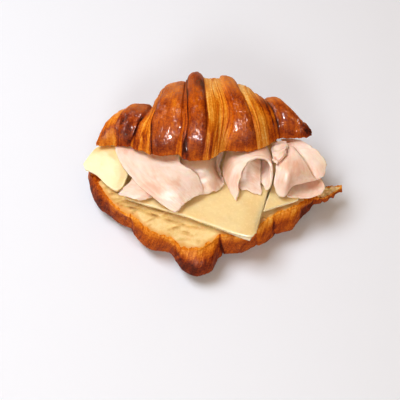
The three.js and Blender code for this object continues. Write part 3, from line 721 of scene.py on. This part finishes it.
TURKEY_SLICES = {
    "turkey_left": [
        [(-38, 36.5, 31.8), (-49, 28, 33.2), (-52.3, 17.5, 34.2), (-39, -2.5, 35), (-13.5, -22, 31)],
        [(-22, 40, 33), (-28, 29, 35.5), (-32, 13.5, 38.3), (-22, -3, 41.5), (-7, -14, 33.5)],
        [(-6, 40, 34), (-8, 29, 38), (-12.5, 9, 42.5), (-2.5, 2, 41), (3.5, -6, 33.5)],
    ],
    "turkey_arch": [
        [
            (23, -11.2, 30.9), (23.5, -5.8, 33.2), (23.7, -1.2, 37), (25.2, 4.4, 43), (28, 8, 46.5),
            (32.5, 10.5, 48.3), (37.5, 10.8, 48), (41.3, 8.8, 45), (42.6, 5.5, 40.5), (42.1, 0, 35.3),
            (40.7, -3.2, 31.9),
        ],
        [
            (17.5, 3, 32.4), (14.5, 5, 34.7), (14.5, 8, 37.5), (17.5, 12, 41.6), (22.5, 14, 43.8),
            (29, 16, 45.3), (35, 18, 45.2), (39, 18, 43.5), (40.5, 16.5, 40), (39.5, 12, 35),
            (35, 10, 32.2),
        ],
        [
            (19, 36, 32.6), (19.5, 37, 33.2), (21, 37, 33.8), (23, 37, 34.2), (25.5, 37, 34.4),
            (28.5, 36.5, 34.4), (32, 36, 34.2), (35, 35.5, 33.8), (37, 34.5, 33.5), (37.5, 33.5, 33.2),
            (36, 33, 32.8),
        ],
    ],
    "turkey_ruffle": [
        [(41.7, 27, 40.2), (43.6, 27, 40.7), (46, 27.5, 41), (49, 28, 41), (51.3, 28, 40.8)],
        [(42.3, 18.5, 43.2), (44, 18.8, 44.4), (46.2, 19.8, 44.8), (49, 21.8, 44.4), (51.2, 22.8, 43.8)],
        [(42.4, 12.3, 46.2), (43.8, 10, 46), (45.6, 9.3, 45.4), (49, 13.1, 46.3), (50.3, 17, 46.3)],
    ],
    "turkey_right": [
        [(45.5, 26, 37), (46.6, 21, 38.6), (45.6, 13.5, 42.8), (44.7, 7.3, 41.4), (44, 0.5, 35.6)],
        [(48, 26, 37.5), (49.3, 21, 39.4), (48, 11, 43.8), (46.9, 4.6, 41), (46.6, -2.4, 31.6)],
        [(51, 26, 38.3), (52, 20.5, 40.8), (51.6, 10, 45), (51.3, 2.8, 42.5), (51, -4.4, 30.8)],
        [(54, 25.5, 40.6), (55.5, 19.5, 43), (56.4, 9, 44), (56.2, 4.3, 41.5), (54.8, 0.6, 34.8)],
        [(57.5, 21.5, 41.2), (59.5, 16, 43), (61, 8.8, 42), (61.3, 5.8, 39.5), (61.5, 3.2, 36)],
        [(61, 16.5, 41.3), (63, 11.8, 41.5), (66.5, 8.2, 39.3), (68.5, 7, 37.2), (71, 6.3, 35)],
    ],
    "turkey_centre": [
        [(-18, 40, 31), (-16, 30, 32.5), (-14.5, 10, 37), (-9, 0, 35.5), (-4, -8, 30.8)],
        [(-2, 40, 32), (-2, 30, 35), (-1.5, 10, 41.2), (4, 2, 39), (9, -4.5, 31.3)],
        [(5, 40, 31.6), (5, 30, 34), (5.2, 12, 40.2), (8, 5, 37.5), (13, -1, 31.8)],
        [(9, 40, 31.6), (8.6, 28, 31.7), (8.4, 14, 31.8), (10.3, 7, 31.9), (14.2, 1, 32.1)],
        [(13.5, 40, 31.6), (13.5, 28, 31.7), (12, 14, 31.8), (12.8, 8, 31.9), (15.4, 2.8, 32.2)],
    ],
    "turkey_right_back": [
        [(47, 35, 34), (51, 25.5, 36.8), (55.5, 19.5, 37.6), (61.5, 12.5, 35.3), (68, 6.5, 32.5)],
        [(54, 34, 36), (56.5, 27, 39), (62, 22, 40.4), (67.5, 16.3, 38.7), (72.5, 8, 34)],
        [(61, 32, 37), (64.7, 26.3, 41), (70.3, 22.5, 41.2), (74.9, 17.3, 38.5), (76, 11.4, 35)],
    ],
    "turkey_inner": [
        [(23.2, -3, 31.3), (28, -2.2, 31.7), (33.5, -4.2, 31.7), (39.2, -5.8, 31.4)],
        [(23, 3, 34), (27.5, 4.5, 35.2), (32.3, 4, 34.8), (36.8, 1.2, 32.6)],
        [(24.5, 9.5, 38.5), (28, 11, 39.8), (31.3, 10.5, 38.8), (36.2, 10, 36.3)],
        [(26, 15, 41), (28.5, 15.5, 41), (30.5, 15, 40.4), (35.5, 14, 38)],
        [(24, 28, 36), (28, 29, 36), (31, 29, 35.6), (33, 28, 34.8)],
    ],
    "turkey_right_under": [
        [(52.5, -3.5, 29.6), (55, 3, 29.5), (55.5, 16, 28.8)],
        [(59, -3.5, 28.7), (62.5, 2, 28.6), (62, 15, 28.4)],
        [(67, -2.5, 27.9), (70.5, 2.5, 28.8), (68, 14, 28.6)],
        [(73, 0.5, 28), (76, 4.5, 29.8), (73, 12, 30)],
    ],
    "turkey_left_under": [
        [(-49, -9.5, 28.7), (-43.5, -11, 31), (-38.5, -12.5, 31.4), (-35, -12.5, 30.2)],
        [(-45.5, -6, 31.5), (-40, -7, 33), (-34, -9.5, 32.5), (-29.5, -11, 30.6)],
        [(-41, 1, 32.6), (-36, -1, 33.5), (-30, -3, 33), (-25, -5, 31)],
        [(-38, 14, 33.6), (-32, 12, 34), (-26, 8, 33), (-21, 4, 31)],
    ],
}


# What all slices of a kind share: points across and along, how far their edges wander and their faces
# wave, the width of the rounded edge and how far the corners are pulled in. Then what sets single
# slices apart, with how many times as ragged one is, and the count and height of its pleats.
CHEESE_SHAPE = {"size": (80, 90), "ragged": 0.12, "wrinkle": 0.12, "edge_round": 0.45, "corners": 0.4}
TURKEY_SHAPE = {"size": (90, 120), "edge_round": 0.9, "corners": 1.2}
CHEESE_SEED, TURKEY_SEED = 100, 200
OWN_SHAPES = {
    "cheese_left": {"corners": 2.5},
    "turkey_left": {"tatter": 0.6},
    "turkey_centre": {"tatter": 1.8},
    "turkey_right_back": {"tatter": 1.4},
    "turkey_inner": {"tatter": 1.6},
    "turkey_ruffle": {"pleats": (3, 0.9)},
}


def bunched(count):
    """Positions from 0 to 1 that crowd towards both ends, for a rounded edge."""
    t = np.linspace(0, 1, count)
    return 0.35 * t + 0.65 * (0.5 - 0.5 * np.cos(np.pi * t))


def slice_surface(
    rows, thick, size, ragged, wrinkle, edge_round, corners, seed, tatter=1, pleats=(0, 0)
):
    """A slice: the skin through its rows, with wandering borders, corners pulled in and a wrinkled
    middle surface, which a count of pleats of a height crosses as a sine wave. The thickness falls
    to nothing over the last edge_round millimetres along a quarter ellipse, so that both faces meet
    at the border. Returns both faces as grids, the distance from the border, and the place on the
    slice."""
    across, along = size
    u, v = bunched(along), bunched(across)
    skin = curve_points(np.array(rows, float), u)
    skin = np.swapaxes(curve_points(np.swapaxes(skin, 0, 1), v), 0, 1)
    length = np.linalg.norm(np.diff(skin, axis=1), axis=2).sum(1).mean()
    width = np.linalg.norm(np.diff(skin, axis=0), axis=2).sum(0).mean()
    du, dv = np.gradient(skin, axis=1), np.gradient(skin, axis=0)
    du /= np.linalg.norm(du, axis=2, keepdims=True) + 1e-9
    dv /= np.linalg.norm(dv, axis=2, keepdims=True) + 1e-9
    normal = np.cross(du, dv)
    normal /= np.linalg.norm(normal, axis=2, keepdims=True) + 1e-9
    u, v = u[None, :], v[:, None]
    s, t = u * length, v * width
    ragged = ragged * tatter
    end = ragged * (rough(t / 2.4, seed * 3.1, 0, seed) + 0.6 * rough(t / 9, 0.5, 0, seed + 1, 2))
    side = ragged * (rough(s / 2.4, seed * 5.7, 0, seed + 2) + 0.6 * rough(s / 9, 1.5, 0, seed + 3, 2))
    near_end = np.where(u > 0.5, 1, -1) * (np.abs(2 * u - 1) ** 6)
    near_side = np.where(v > 0.5, 1, -1) * (np.abs(2 * v - 1) ** 6)
    end = (end - corners * near_side**2) * near_end
    side = (side - corners * near_end**2) * near_side
    middle = skin + du * end[..., None] + dv * side[..., None]
    folds = rough(s / 16, t / 16, 0, seed + 7, 2) + 0.5 * rough(s / 4, t / 7, 0, seed + 9, 2)
    count, height = pleats
    pleat = height * np.sin(2 * np.pi * count * (v - 0.12 * u)) * ease(0, 0.4, u)
    middle = middle + normal * (wrinkle * folds + pleat)[..., None]
    rim = np.minimum(np.minimum(s, length - s), np.minimum(t, width - t))
    half = thick / 2 * np.sqrt(1 - (1 - np.clip(rim / edge_round, 0, 1)) ** 2)
    offset = normal * half[..., None]
    grain = np.stack([s + 0 * t, t + 0 * s, 0 * rim], axis=-1)
    return (middle + offset, middle - offset), rim, grain


def sheet_body(name, faces, rim, grain, look):
    """Two grids that share their border, as one closed mesh: the lower grid's border points are left
    out, and its faces turned over."""
    over, below = faces
    rows, count, _ = over.shape
    index = np.arange(rows * count).reshape(rows, count)
    lower = index + rows * count
    border = np.zeros((rows, count), bool)
    border[[0, -1], :] = True
    border[:, [0, -1]] = True
    lower[border] = index[border]
    used = np.concatenate([np.arange(rows * count), rows * count + np.flatnonzero(~border)])
    renumber = np.full(2 * rows * count, -1)
    renumber[used] = np.arange(len(used))

    def quads(grid, flip):
        cells = np.stack([grid[:-1, :-1], grid[:-1, 1:], grid[1:, 1:], grid[1:, :-1]], axis=-1)
        return cells.reshape(-1, 4)[:, ::-1] if flip else cells.reshape(-1, 4)

    cells = renumber[np.concatenate([quads(index, False), quads(lower, True)])]
    points = np.concatenate([over.reshape(-1, 3), below.reshape(-1, 3)])[used]
    values = {
        "rim": np.tile(rim.ravel(), 2)[used],
        "grain": np.tile(grain.reshape(-1, 3), (2, 1))[used],
    }
    return add_mesh(name, points, cells.tolist(), [look], values)


# ---- materials -----------------------------------------------------------------------------------
CRUST = "egg-washed laminated crust"
CRUMB = "open buttery crumb"
# A Mix node's sockets for colours.
MIX_A, MIX_B, MIX_OUT = 6, 7, 2


def set_inputs(tree, node, inputs):
    """Gives inputs their values, or links them to a socket or to a node's first output."""
    for key, value in inputs.items():
        if isinstance(value, bpy.types.Node):
            value = value.outputs[0]
        if isinstance(value, bpy.types.NodeSocket):
            tree.links.new(value, node.inputs[key])
        else:
            node.inputs[key].default_value = value


def add_node(tree, kind, inputs=None, stops=(), **settings):
    """Adds a ShaderNode of a kind with its settings, its inputs, and a ramp's (place, colour) stops."""
    node = tree.nodes.new("ShaderNode" + kind)
    for key, value in settings.items():
        setattr(node, key, value)
    set_inputs(tree, node, inputs or {})
    for n, (place, colour) in enumerate(stops):
        ramp = node.color_ramp.elements
        element = ramp[n] if n < 2 else ramp.new(place)
        element.position, element.color = place, colour
    return node


def new_material(name, *attributes, **surface):
    """A material with one Principled shader. Returns it with its tree, its shader, the Object
    coordinates and what the points' attributes hold."""
    material = bpy.data.materials.new(name)
    material.use_nodes = True
    tree = material.node_tree
    shader = tree.nodes["Principled BSDF"]
    set_inputs(tree, shader, {key.replace("_", " "): value for key, value in surface.items()})
    place = add_node(tree, "TexCoord").outputs["Object"]
    found = []
    for key in attributes:
        output = "Vector" if key == "grain" else "Fac"
        found.append(add_node(tree, "Attribute", attribute_name=key).outputs[output])
    return material, tree, shader, place, *found


def per_mm(size):
    """The scale of a pattern of this size, in millimetres, on coordinates in metres."""
    return 1 / (size * MM)


def baked_crust(colour_mid):
    """Laminated dough, washed with egg and baked. The wash is a coat: it covers the ridges in
    patches, wrinkled, so that its highlights break up. Under it and on the cut layers the crust is
    matt, gold to deep brown, with fine dark lines along the layers, painted shade in its grooves and a
    painted pale tan sheen in specks on its far side."""
    material, tree, shader, place, browning_and_painted_light, stripes, glaze, painted_sheen, grain = new_material(
        CRUST, "browning_and_painted_light", "stripes", "glaze", "painted_sheen", "grain", Roughness=0.6, Specular_IOR_Level=0.1,
        Coat_Roughness=0.05, Coat_IOR=1.5, Subsurface_Weight=0.04, Subsurface_Scale=0.0015,
    )
    # Lines along the layers: 0.8 mm wide and 14 mm long, in the millimetres of grain.
    layer_place = add_node(tree, "Mapping", {"Vector": grain, "Scale": (1 / 0.8, 1 / 14, 1)})
    layers = add_node(
        tree, "TexNoise", {"Vector": layer_place, "Scale": 1.0, "Detail": 2.0, "Roughness": 0.6}
    )
    specks = add_node(
        tree, "TexNoise", {"Vector": place, "Scale": per_mm(1.1), "Detail": 3.0, "Roughness": 0.7}
    )
    # Browning, with painted shade in the grooves and painted sheen on the far side: the level, streaked
    # along the layers and speckled, picks a colour from gold to brown.
    streak_gain = add_node(tree, "Math", {0: stripes, 1: 0.3, 2: 0.1}, operation="MULTIPLY_ADD")
    fine = add_node(tree, "Math", {0: layers, 1: -0.5}, operation="ADD")
    streaked = add_node(tree, "Math", {0: fine, 1: streak_gain, 2: browning_and_painted_light}, operation="MULTIPLY_ADD")
    speckled = add_node(tree, "Math", {0: specks, 1: 0.64, 2: streaked}, operation="MULTIPLY_ADD")
    level = add_node(tree, "Math", {0: speckled, 1: -0.29}, operation="ADD", use_clamp=True)
    colour = add_node(tree, "ValToRGB", {"Fac": level}, stops=[
        (0.0, linear("#FBD48A")), (1.0, linear("#401402")), (0.2, linear("#F2AE48")),
        (0.4, linear("#DF8616")), (0.6, colour_mid), (0.8, linear("#8A3400")),
    ])
    # Painted sheen: every other speck on the far side is mixed towards a pale tan.
    sheen_specks = add_node(tree, "MapRange", {"Value": specks, "From Min": 0.35, "From Max": 0.65})
    sheen_on_specks = add_node(tree, "Math", {0: sheen_specks, 1: painted_sheen}, operation="MULTIPLY")
    sheen_share = add_node(tree, "Math", {0: sheen_on_specks, 1: 0.5}, operation="MULTIPLY")
    paler = add_node(
        tree, "Mix", {"Factor": sheen_share, MIX_A: colour, MIX_B: linear("#D2A27C")}, data_type="RGBA"
    )
    # The wash lies in patches of about 6 mm and wrinkles over about 3 mm.
    patch = add_node(
        tree, "TexNoise", {"Vector": place, "Scale": per_mm(6), "Detail": 2.0, "Roughness": 0.6}
    )
    patches = add_node(tree, "MapRange", {"Value": patch, "From Min": 0.42, "From Max": 0.55})
    coat = add_node(tree, "Math", {0: patches, 1: glaze}, operation="MULTIPLY")
    wrinkles = add_node(tree, "TexNoise", {
        "Vector": place, "Scale": per_mm(3.0), "Detail": 1.0, "Roughness": 0.45, "Distortion": 1.2,
    })
    layer_bump = add_node(tree, "Bump", {"Strength": 0.5, "Distance": 0.0005, "Height": layers})
    wrinkle_bump = add_node(tree, "Bump", {"Strength": 1.0, "Distance": 0.0014, "Height": wrinkles})
    set_inputs(tree, shader, {
        "Base Color": paler.outputs[MIX_OUT], "Coat Weight": coat, "Normal": layer_bump,
        "Coat Normal": wrinkle_bump,
    })
    return material


def open_crumb(colour_pale):
    """The soft inside of a croissant: pale buttery yellow and matt, with painted shade darkening its
    hollows, and browner towards the crust."""
    material, tree, shader, place, depth, edge = new_material(
        CRUMB, "depth", "crumb_edge", Roughness=0.75, Specular_IOR_Level=0.25,
        Subsurface_Weight=0.2, Subsurface_Scale=0.003,
    )
    pores = add_node(
        tree, "TexNoise", {"Vector": place, "Scale": per_mm(2.2), "Detail": 5.0, "Roughness": 0.7}
    )
    clouds = add_node(tree, "TexNoise", {"Vector": place, "Scale": per_mm(14), "Detail": 2.0})
    # Painted shade: the depth of the hollows darkens the crumb.
    pores_and_hollow_shade = add_node(tree, "Math", {0: pores, 1: 0.55, 2: depth}, operation="MULTIPLY_ADD")
    cloudy = add_node(tree, "Math", {0: clouds, 1: 0.3, 2: pores_and_hollow_shade}, operation="MULTIPLY_ADD")
    level = add_node(tree, "Math", {0: cloudy, 1: -0.22}, operation="ADD", use_clamp=True)
    colour = add_node(tree, "ValToRGB", {"Fac": level}, stops=[
        (0.0, colour_pale), (1.0, linear("#9C7034")), (0.25, linear("#EFD59C")),
        (0.6, linear("#D9B470")),
    ])
    browned = add_node(
        tree, "Mix", {"Factor": edge, MIX_A: colour, MIX_B: linear("#E0AA5E")}, data_type="RGBA"
    )
    bump = add_node(tree, "Bump", {"Strength": 0.6, "Distance": 0.0006, "Height": pores})
    set_inputs(tree, shader, {"Base Color": browned.outputs[MIX_OUT], "Normal": bump})
    return material


def sliced_cheese(colour_pale):
    """Young semi-hard cheese, cut by machine: smooth, pale yellow and faintly oily, letting some
    light in, with painted light that makes it paler along its cut edges."""
    material, tree, shader, place, rim = new_material(
        "young semi-hard cheese", "rim", IOR=1.45, Subsurface_Weight=0.5, Subsurface_Scale=0.005,
        Subsurface_Radius=(1.0, 0.75, 0.45),
    )
    clouds = add_node(tree, "TexNoise", {"Vector": place, "Scale": per_mm(18), "Detail": 3.0})
    fine = add_node(tree, "TexNoise", {"Vector": place, "Scale": per_mm(1.8), "Detail": 3.0})
    waves = add_node(
        tree, "TexNoise", {"Vector": place, "Scale": per_mm(8), "Detail": 1.0, "Distortion": 0.3}
    )
    colour = add_node(
        tree, "ValToRGB", {"Fac": clouds}, stops=[(0.3, colour_pale), (0.7, linear("#F3D39C"))]
    )
    # Painted light: the colour turns paler towards the cut edges.
    edge = add_node(tree, "MapRange", {"Value": rim, "From Max": 1.0, "To Min": 0.9, "To Max": 0.0})
    painted_edge_light = add_node(
        tree, "Mix", {"Factor": edge, MIX_A: colour, MIX_B: linear("#FDEFCB")}, data_type="RGBA"
    )
    gloss = add_node(tree, "MapRange", {"Value": fine, "To Min": 0.16, "To Max": 0.36})
    wavy = add_node(tree, "Bump", {"Strength": 0.5, "Distance": 0.001, "Height": waves})
    bump = add_node(
        tree, "Bump", {"Strength": 0.08, "Distance": 0.0004, "Height": fine, "Normal": wavy}
    )
    set_inputs(
        tree, shader, {"Base Color": painted_edge_light.outputs[MIX_OUT], "Roughness": gloss, "Normal": bump}
    )
    return material


def sliced_turkey(colour_mid):
    """Cooked turkey breast, pressed and sliced by machine: pale pink, moist, with a fine grain, and
    whiter along its thin edges, where the light comes through."""
    material, tree, shader, place, rim, grain = new_material(
        "cooked turkey breast", "rim", "grain", IOR=1.42, Specular_IOR_Level=0.4,
        Subsurface_Weight=0.35, Subsurface_Scale=0.004, Subsurface_Radius=(1.0, 0.4, 0.22),
    )
    # Fibres about 5 mm long and 2.2 mm wide, in the millimetres of grain.
    fibre_place = add_node(tree, "Mapping", {"Vector": grain, "Scale": (1 / 5, 1 / 2.2, 1)})
    fibres = add_node(
        tree, "TexNoise", {"Vector": fibre_place, "Scale": 1.0, "Detail": 4.0, "Roughness": 0.6}
    )
    clouds = add_node(tree, "TexNoise", {"Vector": place, "Scale": per_mm(15), "Detail": 3.0})
    level = add_node(tree, "Math", {0: fibres, 1: 0.6, 2: clouds}, operation="MULTIPLY_ADD")
    colour = add_node(tree, "ValToRGB", {"Fac": level}, stops=[
        (0.55, linear("#FAE8DE")), (1.0, linear("#EDC5B0")), (0.82, colour_mid),
    ])
    edge = add_node(tree, "MapRange", {"Value": rim, "From Max": 1.6, "To Min": 0.4, "To Max": 0.0})
    pale = add_node(
        tree, "Mix", {"Factor": edge, MIX_A: colour, MIX_B: linear("#FFF1E6")}, data_type="RGBA"
    )
    gloss = add_node(tree, "MapRange", {"Value": fibres, "To Min": 0.36, "To Max": 0.56})
    bump = add_node(tree, "Bump", {"Strength": 0.4, "Distance": 0.0005, "Height": fibres})
    set_inputs(
        tree, shader, {"Base Color": pale.outputs[MIX_OUT], "Roughness": gloss, "Normal": bump}
    )
    return material


def pale_floor(colour):
    """A sheet of matt white board: even and soft."""
    return new_material("matt white board", Base_Color=colour, Roughness=0.8)[0]


# ---- settings --------------------------------------------------------------------------------------
def length_setting(name, description, default):
    """A length in metres, shown in the scene's unit."""
    return bpy.props.FloatProperty(
        name=name, description=description, default=default, min=0, unit="LENGTH", subtype="DISTANCE"
    )


def colour_setting(name, description, default):
    """A colour, given as sRGB hex."""
    return bpy.props.FloatVectorProperty(
        name=name, description=description, default=linear(default), size=4, min=0, max=1, subtype="COLOR"
    )


class SandwichSettings(bpy.types.PropertyGroup):
    """What a user would change."""

    cheese_thick: length_setting("Cheese thickness", "How thick each slice of cheese is", 0.0024)
    turkey_thick: length_setting("Turkey thickness", "How thick each slice of turkey is", 0.0017)
    ragged: length_setting("Ragged edges", "How far the turkey's edges wander", 0.0005)
    wrinkles: length_setting("Wrinkles", "How far the turkey's faces wave", 0.0005)
    crust_colour: colour_setting("Crust", "The crust where it is well baked", "#BE5E02")
    crumb_colour: colour_setting("Crumb", "The palest crumb", "#F8E4B6")
    cheese_colour: colour_setting("Cheese", "The palest cheese", "#FAE2B2")
    turkey_colour: colour_setting("Turkey", "The turkey's usual pink", "#F5DACC")
    floor_colour: colour_setting("Floor", "The board that it stands on", "#E9F2FF")
    light_power: bpy.props.FloatProperty(
        name="Light", description="Power of the overhead light, in watts", default=6.6, min=0
    )


def croissant_looks(settings):
    """The crust and the crumb, made by whichever half is built first."""
    found = [bpy.data.materials.get(name) for name in (CRUST, CRUMB)]
    if all(found):
        return found
    return [baked_crust(settings.crust_colour), open_crumb(settings.crumb_colour)]


def dress(piece, node):
    """The piece stands for its CAD node and moves with the part."""
    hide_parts(node)
    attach(piece, ROOT_BODY)


def build_half(name, surface, node):
    """One half of the croissant, from what its surface function returns."""
    points, values, crumb = surface
    looks = croissant_looks(bpy.context.scene.sandwich)
    dress(ring_body(name, points, looks, values, crumb), node)


def build_slices(slices, look, slot_name, first_seed, **shape):
    """Each slice on its rows, with a seed and what sets it apart."""
    for seed, (node, rows) in enumerate(slices.items(), first_seed):
        own = {**shape, **OWN_SHAPES.get(node, {})}
        faces, rim, grain = slice_surface(rows, seed=seed, **own)
        dress(sheet_body(node + "_slice", faces, rim, grain, look), node)


class SANDWICH_OT_lower_half(bpy.types.Operator):
    """Builds the lower half of the croissant: wall, cut face and base"""

    bl_idname = "sandwich.lower_half"
    bl_label = "Lower half"

    def execute(self, context):
        build_half("lower_half", lower_surface(), "croissant_lower")
        return {"FINISHED"}


class SANDWICH_OT_upper_half(bpy.types.Operator):
    """Builds the upper half of the croissant: banded crust and cut underside"""

    bl_idname = "sandwich.upper_half"
    bl_label = "Upper half"

    def execute(self, context):
        build_half("upper_half", upper_surface(), "croissant_upper")
        return {"FINISHED"}


class SANDWICH_OT_cheese(bpy.types.Operator):
    """Builds the four slices of cheese"""

    bl_idname = "sandwich.cheese"
    bl_label = "Cheese"

    def execute(self, context):
        settings = context.scene.sandwich
        look = sliced_cheese(settings.cheese_colour)
        thick = settings.cheese_thick / MM
        build_slices(CHEESE_SLICES, look, "cheese", CHEESE_SEED, thick=thick, **CHEESE_SHAPE)
        return {"FINISHED"}


class SANDWICH_OT_turkey(bpy.types.Operator):
    """Builds the folded slices of turkey breast"""

    bl_idname = "sandwich.turkey"
    bl_label = "Turkey"

    def execute(self, context):
        settings = context.scene.sandwich
        look = sliced_turkey(settings.turkey_colour)
        shape = {
            "thick": settings.turkey_thick / MM, "ragged": settings.ragged / MM,
            "wrinkle": settings.wrinkles / MM, **TURKEY_SHAPE,
        }
        build_slices(TURKEY_SLICES, look, "turkey", TURKEY_SEED, **shape)
        return {"FINISHED"}


# ---- stage -----------------------------------------------------------------------------------------
# The camera, in metres and degrees. It aims at the middle of the sandwich, which lies at AIM_PIXEL of
# the picture, and its view is FRAME_WIDTH wide there.
CAMERA_AIM = Vector((0, 0.0128, 0))
CAMERA_DISTANCE = 0.65
CAMERA_ELEVATION = 59.5
CAMERA_ROLL = 3.6
FRAME_WIDTH = 0.254
SENSOR_WIDTH = 36.0
IMAGE_PIXELS = 400
AIM_PIXEL = (199.2, 192.8)

# Each light's place, size, share of the power, and colour. The strip makes the glaze's highlights
# and lights nothing else.
LIGHTS = {
    "overhead": ((-0.42, 0.15, 0.92), (0.5, 0.5), 1.0, (0.96, 0.98, 1)),
    "front_box": ((-0.1, -0.8, 0.7), (0.25, 0.25), 0.3, (1, 0.97, 0.93)),
    "gloss_strip": ((-0.13, -0.8, 0.6), (0.25, 0.5), 4.4, (1, 1, 1)),
}
GLOSS_LIGHT = "gloss_strip"
SKY_COLOUR = "#FFD2A0"
SKY_STRENGTH = 0.28
FLOOR_SIZE = 6


def aim(turned, location, target, roll=0.0):
    """Points an object's -Z at the target, with its own X level, then rolls it."""
    back = (location - target).normalized()
    right = Vector((0, 0, 1)).cross(back)
    right = right.normalized() if right.length > 1e-6 else Vector((1, 0, 0))
    up = back.cross(right)
    basis = Matrix((right, up, back)).transposed()
    turned.matrix_world = Matrix.Translation(location) @ (basis @ Matrix.Rotation(roll, 3, "Z")).to_4x4()


def add_light(name, location, size, power, colour):
    """An area light, size metres wide and high, that shines at the sandwich."""
    data = bpy.data.lights.new(name, "AREA")
    data.shape, data.energy, data.color = "RECTANGLE", power, colour
    data.size, data.size_y = size
    light = bpy.data.objects.new(name, data)
    bpy.context.scene.collection.objects.link(light)
    aim(light, Vector(location), CAMERA_AIM)
    return light


def add_floor(colour):
    """A wide plane at the base's height."""
    bpy.ops.mesh.primitive_plane_add(size=FLOOR_SIZE, location=(0, 0, 0))
    floor = bpy.context.object
    floor.name = "floor"
    floor.data.materials.append(pale_floor(colour))
    return floor


def add_sky(scene):
    """A weak, warm light from all around."""
    world = bpy.data.worlds.new("studio")
    scene.world = world
    world.use_nodes = True
    sky = world.node_tree.nodes["Background"]
    sky.inputs["Color"].default_value = linear(SKY_COLOUR)
    sky.inputs["Strength"].default_value = SKY_STRENGTH


def add_camera(scene):
    """The camera, on a line that rises by its elevation in front of the sandwich, with the lens and
    the small shift that put the sandwich where the picture has it."""
    data = bpy.data.cameras.new("camera")
    data.sensor_width = SENSOR_WIDTH
    data.lens = SENSOR_WIDTH * CAMERA_DISTANCE / FRAME_WIDTH
    data.shift_x = (IMAGE_PIXELS / 2 - AIM_PIXEL[0]) / IMAGE_PIXELS
    data.shift_y = (AIM_PIXEL[1] - IMAGE_PIXELS / 2) / IMAGE_PIXELS
    camera = bpy.data.objects.new("camera", data)
    scene.collection.objects.link(camera)
    tilt = np.radians(CAMERA_ELEVATION)
    place = CAMERA_AIM + CAMERA_DISTANCE * Vector((0, -np.cos(tilt), np.sin(tilt)))
    aim(camera, place, CAMERA_AIM, np.radians(CAMERA_ROLL))
    scene.camera = camera


class SANDWICH_OT_stage(bpy.types.Operator):
    """Sets up the floor, the soft studio light and the camera"""

    bl_idname = "sandwich.stage"
    bl_label = "Stage"

    def execute(self, context):
        scene = context.scene
        settings = scene.sandwich
        floor = add_floor(settings.floor_colour)
        add_sky(scene)
        for name, (place, size, share, colour) in LIGHTS.items():
            light = add_light(name, place, size, settings.light_power * share, colour)
            light.visible_diffuse = name != GLOSS_LIGHT
        scene.view_settings.view_transform = "Standard"
        scene.view_settings.look = "Medium High Contrast"
        add_camera(scene)
        return {"FINISHED"}


class SANDWICH_PT_panel(bpy.types.Panel):
    """Lists the sandwich's pieces"""

    bl_idname = "SANDWICH_PT_panel"
    bl_label = "Croissant sandwich"
    bl_space_type = "VIEW_3D"
    bl_region_type = "UI"
    bl_category = "Sandwich"

    def draw(self, context):
        for operator in OPERATORS:
            self.layout.operator(operator.bl_idname)
        for key in SandwichSettings.__annotations__:
            self.layout.prop(context.scene.sandwich, key)


OPERATORS = (
    SANDWICH_OT_lower_half,
    SANDWICH_OT_upper_half,
    SANDWICH_OT_cheese,
    SANDWICH_OT_turkey,
    SANDWICH_OT_stage,
)
CLASSES = (SandwichSettings, *OPERATORS, SANDWICH_PT_panel)


def register():
    for kind in CLASSES:
        bpy.utils.register_class(kind)
    bpy.types.Scene.sandwich = bpy.props.PointerProperty(type=SandwichSettings)


def unregister():
    del bpy.types.Scene.sandwich
    for kind in reversed(CLASSES):
        bpy.utils.unregister_class(kind)


def main():
    register()
    bpy.ops.sandwich.lower_half()
    bpy.ops.sandwich.upper_half()
    bpy.ops.sandwich.cheese()
    bpy.ops.sandwich.turkey()
    bpy.ops.sandwich.stage()


if __name__ == "__main__":
    main()
